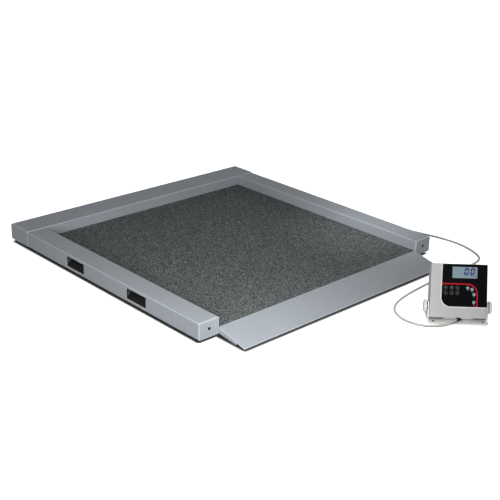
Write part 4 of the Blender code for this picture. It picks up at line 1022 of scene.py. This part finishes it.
def make_knob_details():
    """The raised ring with its ribs, the cap and the skirt of each knob."""
    for side, sign in (("left", -1), ("right", 1)):
        node = frame["nodes"][f"knob_{side}"]
        corners = [node.matrix_world @ vertex.co - TILT_AT for vertex in node.data.vertices]
        reach = [corner.dot(CASE_X) * sign for corner in corners]
        outward = (sign, 0, 0)
        place = on_case(sign * max(reach), 0, 0, outward)
        skirt = on_case(sign * min(reach), 0, 0, outward)
        body = f"knob_{side}_clamp"
        shape = bmesh.new()
        add_ring(shape, 0.0142, 0.0122, -0.0003, 0.0007, 32, place, 0.0003)
        add_ribs(shape, place, 6, (0.0075, -0.0007, -0.0003), (0.0124, 0.0007, 0.0006), 0.0002)
        put(f"knob_{side}_ring", shape, "clear_knob", body)
        shape = bmesh.new()
        profile = [(0.0076, -0.0003), (0.0076, 0.0006), (0.0068, 0.0013), (0.0030, 0.0017)]
        add_turned(shape, profile, 28, place)
        put(f"knob_{side}_cap", shape, "knob_cap", body)
        shape = bmesh.new()
        add_ring(shape, 0.0128, 0.0096, -0.0009, 0.0002, 32, skirt, 0.0003)
        put(f"knob_{side}_skirt", shape, "dark_hub", body)


def make_gland_rings():
    """The moulded rings on the tapered gland under the case."""
    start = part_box("case_gland")[0][0] + 0.0016
    _, y, z = centre_of("case_gland")
    shape = bmesh.new()
    for step in range(5):
        radius = 0.0044 + 0.00012 * step
        place = Matrix.Translation((start + 0.0024 * step, y, z)) @ along_z_to((1, 0, 0))
        add_ring(shape, radius + 0.0003, radius - 0.0010, -0.0006, 0.0006, 20, place, 0.0003)
    put("case_gland_rings", shape, "black_plastic", "display_case")


def make_bracket_details():
    """Screws in the base, rivets at the foot of each arm and a lip along the base's front, coloured lighter than
    the bracket as a painted highlight.
    """
    level = UP.cross(CASE_X)
    origin = TILT_AT - level * TILT_BACK
    origin.z = 0.0
    base = framed(origin, CASE_X, level, UP)
    shape = bmesh.new()
    for side in (-1, 1):
        for y in (0.0144, 0.0696):
            add_screw(shape, 0.0027, base @ Matrix.Translation((side * 0.0652, y, BRACKET_SHEET)))
    put("bracket_screws", shape, "black_screw", "platform")
    shape = bmesh.new()
    profile = [(0.0021, -0.0003), (0.0021, 0.0003), (0.0016, 0.0009), (0.0006, 0.0011)]
    for side in (-1, 1):
        for y in (0.026, 0.058):
            spot = (side * (BRACKET_HALF_WIDTH - 0.0001), y, 0.0074)
            add_turned(shape, profile, 20, base @ Matrix.Translation(spot) @ along_z_to((side, 0, 0)))
    put("bracket_rivets", shape, "black_screw", "platform")
    radius = BRACKET_CORNER - LIP_INSET
    half = BRACKET_HALF_WIDTH - LIP_INSET
    route = [
        (-half, LIP_END),
        *arc((-half + radius, BRACKET_CORNER), radius, 180, 270, 8),
        *arc((half - radius, BRACKET_CORNER), radius, 270, 360, 8),
        (half, LIP_END),
    ]
    shape, flat = bmesh.new(), bmesh.new()
    add_line(flat, route, 0.0021, -0.0004, 0.0004)
    lay = Matrix(((1, 0, 0, 0), (0, 0, 1, 0), (0, -1, 0, BRACKET_SHEET), (0, 0, 0, 1)))
    flat.transform(base @ lay)
    merge(shape, flat)
    # The lip is coloured lighter than the bracket as a painted highlight.
    put("bracket_front_lip", shape, "bracket_lip_highlight", "platform")


# --- Platform ---
CAP_HOLE_HEIGHT = 0.0342
WELD_BEADS = 26
ENDS = ("front", "back")
SIDES = ("left", "right")


def make_slot_rims():
    """The moulded rim and the grip ribs of each hand slot, and a lighter triangle on its inner wall: painted light
    where that wall catches the light.
    """
    for end in ENDS:
        low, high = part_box(f"hand_cup_{end}")
        x = low[0]
        shape = bmesh.new()
        add_ring_plate(shape, low[1], high[1], low[2], high[2], 0.0011, x - 0.0006, x + 0.0004)
        put(f"hand_slot_rim_{end}", shape, "black_plastic", "platform")
        shape = bmesh.new()
        for step in range(7):
            y = low[1] + (high[1] - low[1]) * (step + 1.5) / 9
            near = (x + 0.004, y - 0.0009, low[2] + 0.0008)
            add_box(shape, near, (x + 0.016, y + 0.0009, low[2] + 0.0026), 0.0004)
        put(f"hand_slot_grip_{end}", shape, "black_plastic", "platform")
        # A lighter triangle on the inner wall: painted light.
        shape = bmesh.new()
        far = high[1] - 0.0024
        top = high[2] - 0.0030
        wall = ((x + 0.0010, top), (x + 0.0010, low[2] + 0.0080), (x + 0.0230, top))
        add_plate(shape, wall, far - 0.0003, far)
        put(f"hand_slot_wall_{end}", shape, "slot_wall_lit_side", "platform")


def add_ring_plate(shape, low_y, high_y, low_z, high_z, width, near, far):
    """A rounded rectangular rim on a face that looks along x, kept inside the given outline."""
    radius = 0.0035
    half = width / 2
    corners = (
        (high_y - radius, high_z - radius, 0),
        (low_y + radius, high_z - radius, 90),
        (low_y + radius, low_z + radius, 180),
        (high_y - radius, low_z + radius, 270),
    )
    route = []
    for y, z, start in corners:
        route += arc((y, z), radius - half, start, start + 90, 6)
    route.append((route[0][0], route[0][1] - 0.0004))
    flat = bmesh.new()
    add_line(flat, route, width, near, far)
    flat.transform(Matrix(((0, 1, 0, 0), (1, 0, 0, 0), (0, 0, 1, 0), (0, 0, 0, 1))))
    merge(shape, flat)


def make_cap_plugs():
    """A plug in the hole of each side beam's front cap, near-black as painted shade for the dark inside of the
    hole.
    """
    profile = [
        (0.0030, -0.0026),
        (0.0030, -0.0003),
        (0.0043, -0.0002),
        (0.0043, 0.0002),
        (0.0036, 0.0004),
    ]
    for side in SIDES:
        cap = f"front_cap_{side}"
        spot = (centre_of(cap).x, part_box(cap)[0][1], CAP_HOLE_HEIGHT)
        shape = bmesh.new()
        add_turned(shape, profile, 20, Matrix.Translation(spot) @ along_z_to((0, -1, 0)))
        # Near-black plug: painted shade for the dark inside of the hole.
        put(f"cap_plug_{side}", shape, "hole_shade_black", "platform")


def make_welds():
    """The low weld beads where the side beams meet the back beam."""
    for side in SIDES:
        low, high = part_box(f"{side}_side_beam")
        shape = bmesh.new()
        for number in range(WELD_BEADS):
            share = (number + 0.5) / WELD_BEADS
            x = low[0] + 0.003 + (high[0] - low[0] - 0.006) * share
            place = Matrix.Translation((x, high[1] + 0.0002, high[2] - 0.0001))
            bead = bmesh.new()
            bmesh.ops.create_uvsphere(bead, u_segments=8, v_segments=6, radius=0.00135)
            bead.transform(place @ Matrix.Diagonal((1.5, 0.95, 0.55, 1)))
            merge(shape, bead)
        put(f"weld_top_{side}", shape, "painted_steel", "platform")


def make_ramp_tip_shade():
    """A dark rubber strip under and in front of the ramp's tip: painted shade for the tip's shadowed front face
    and underside.
    """
    low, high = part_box("ramp")
    # The dark strip stands for the shade under and in front of the tip: painted shade.
    shape = bmesh.new()
    for inset, near, far, top in (
        (0.0006, -0.0007, -0.0001, 0.0034),
        (0.0040, -0.0003, 0.0060, 0.0014),
    ):
        start = (low[0] + inset, low[1] + near, 0.0003)
        add_box(shape, start, (high[0] - inset, low[1] + far, top), 0.0002)
    put("ramp_tip_shade", shape, "black_rubber", "platform")


def make_platform_gland_details():
    """The hexagon and grip ribs of the cable gland on the right beam."""
    spot = centre_of("platform_gland")
    spot.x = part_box("right_side_beam")[1][0]
    place = Matrix.Translation(spot) @ along_z_to((1, 0, 0))
    shape = bmesh.new()
    add_ring(shape, 0.0119, 0.0100, 0.0003, 0.0048, 6, place, 0.0004)
    add_ribs(shape, place, 16, (0.0086, -0.0006, 0.0064), (0.0098, 0.0006, 0.0146), 0.0003)
    put("platform_gland_grip", shape, "black_plastic", "platform")


def make_wheel_details():
    """The tread ribs and the hub rings of the two transport wheels."""
    for end in ENDS:
        place = Matrix.Translation(centre_of(f"wheel_{end}")) @ along_z_to((0, 1, 0))
        body = f"wheel_{end}_roller"
        shape = bmesh.new()
        low, high = (0.0192, -0.0011, -0.0058), (0.0201, 0.0011, 0.0058)
        add_ribs(shape, place, 24, low, high, 0.0003, 0.5)
        put(f"wheel_tread_{end}", shape, "black_rubber", body)
        shape = bmesh.new()
        for turn in (math.pi, 0):
            face = place @ Matrix.Rotation(turn, 4, "X")
            add_ring(shape, 0.0145, 0.0128, 0.0078, 0.0083, 28, face, 0.0002)
            add_ring(shape, 0.0082, 0.0062, 0.0078, 0.0083, 24, face, 0.0002)
        put(f"wheel_hub_{end}", shape, "wheel_hub", body)


def make_foot_details():
    """The grip ribs round each foot's pad and the thread rings of its stud."""
    for end in ENDS:
        for side in SIDES:
            x, y, _ = centre_of(f"foot_pad_{end}_{side}")
            body = f"foot_{end}_{side}"
            shape = bmesh.new()
            low, high = (0.0160, -0.0008, 0.0007), (0.0174, 0.0008, 0.0031)
            add_ribs(shape, Matrix.Translation((x, y, 0)), 20, low, high, 0.0003)
            put(f"foot_ribs_{end}_{side}", shape, "black_rubber", body)
            shape = bmesh.new()
            for step in range(15):
                place = Matrix.Translation((x, y, 0.0125 + 0.0018 * step))
                add_ring(shape, 0.0053, 0.0047, 0, 0.0009, 16, place, 0.0003)
            put(f"foot_thread_{end}_{side}", shape, "zinc_steel", body)


def make_inner_details():
    """What shows when the pieces are taken apart: lid screws, chips and load cell labels."""
    low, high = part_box("junction_lid")
    shape = bmesh.new()
    for x in (low[0] + 0.005, high[0] - 0.005):
        for y in (low[1] + 0.005, high[1] - 0.005):
            add_screw(shape, 0.0021, Matrix.Translation((x, y, high[2] - 0.0002)))
    put("lid_screws", shape, "zinc_steel", "platform")
    low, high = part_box("junction_board")
    shape = bmesh.new()
    foot = high[2] - 0.0001
    for number in range(5):
        y = low[1] + 0.012 + 0.018 * number
        add_box(shape, (low[0] + 0.006, y, foot), (low[0] + 0.014, y + 0.010, high[2] + 0.0035), 0.0004)
        add_box(shape, (high[0] - 0.012, y, foot), (high[0] - 0.007, y + 0.004, high[2] + 0.0016), 0.0003)
    put("junction_board_parts", shape, "chip", "platform")
    for end in ENDS:
        for side in SIDES:
            x, y, _ = centre_of(f"load_cell_{end}_{side}")
            shape = bmesh.new()
            add_box(shape, (x - 0.009, y - 0.022, 0.0206), (x + 0.009, y + 0.022, 0.0211), 0.0002)
            put(f"cell_label_{end}_{side}", shape, "cell_label", "platform")
    shape = bmesh.new()
    for x, z, wide, tall in (
        (-0.046, 0.052, 0.014, 0.010),
        (-0.022, 0.058, 0.009, 0.009),
        (0.004, 0.062, 0.012, 0.006),
        (0.030, 0.030, 0.008, 0.008),
        (-0.050, 0.010, 0.010, 0.014),
    ):
        add_box(shape, (x, -0.0089, z), (x + wide, -0.0074, z + tall), 0.0003)
    put("main_board_parts", shape, "chip", "display_case", CASE)


def main():
    make_camera()
    make_stage()
    make_cable()
    make_display()
    make_red_line()
    make_key_prints()
    make_shell_details()
    make_case_back_details()
    make_knob_details()
    make_gland_rings()
    make_bracket_details()
    make_slot_rims()
    make_cap_plugs()
    make_welds()
    make_ramp_tip_shade()
    make_platform_gland_details()
    make_wheel_details()
    make_foot_details()
    make_inner_details()
    finish_cad_nodes()


main()
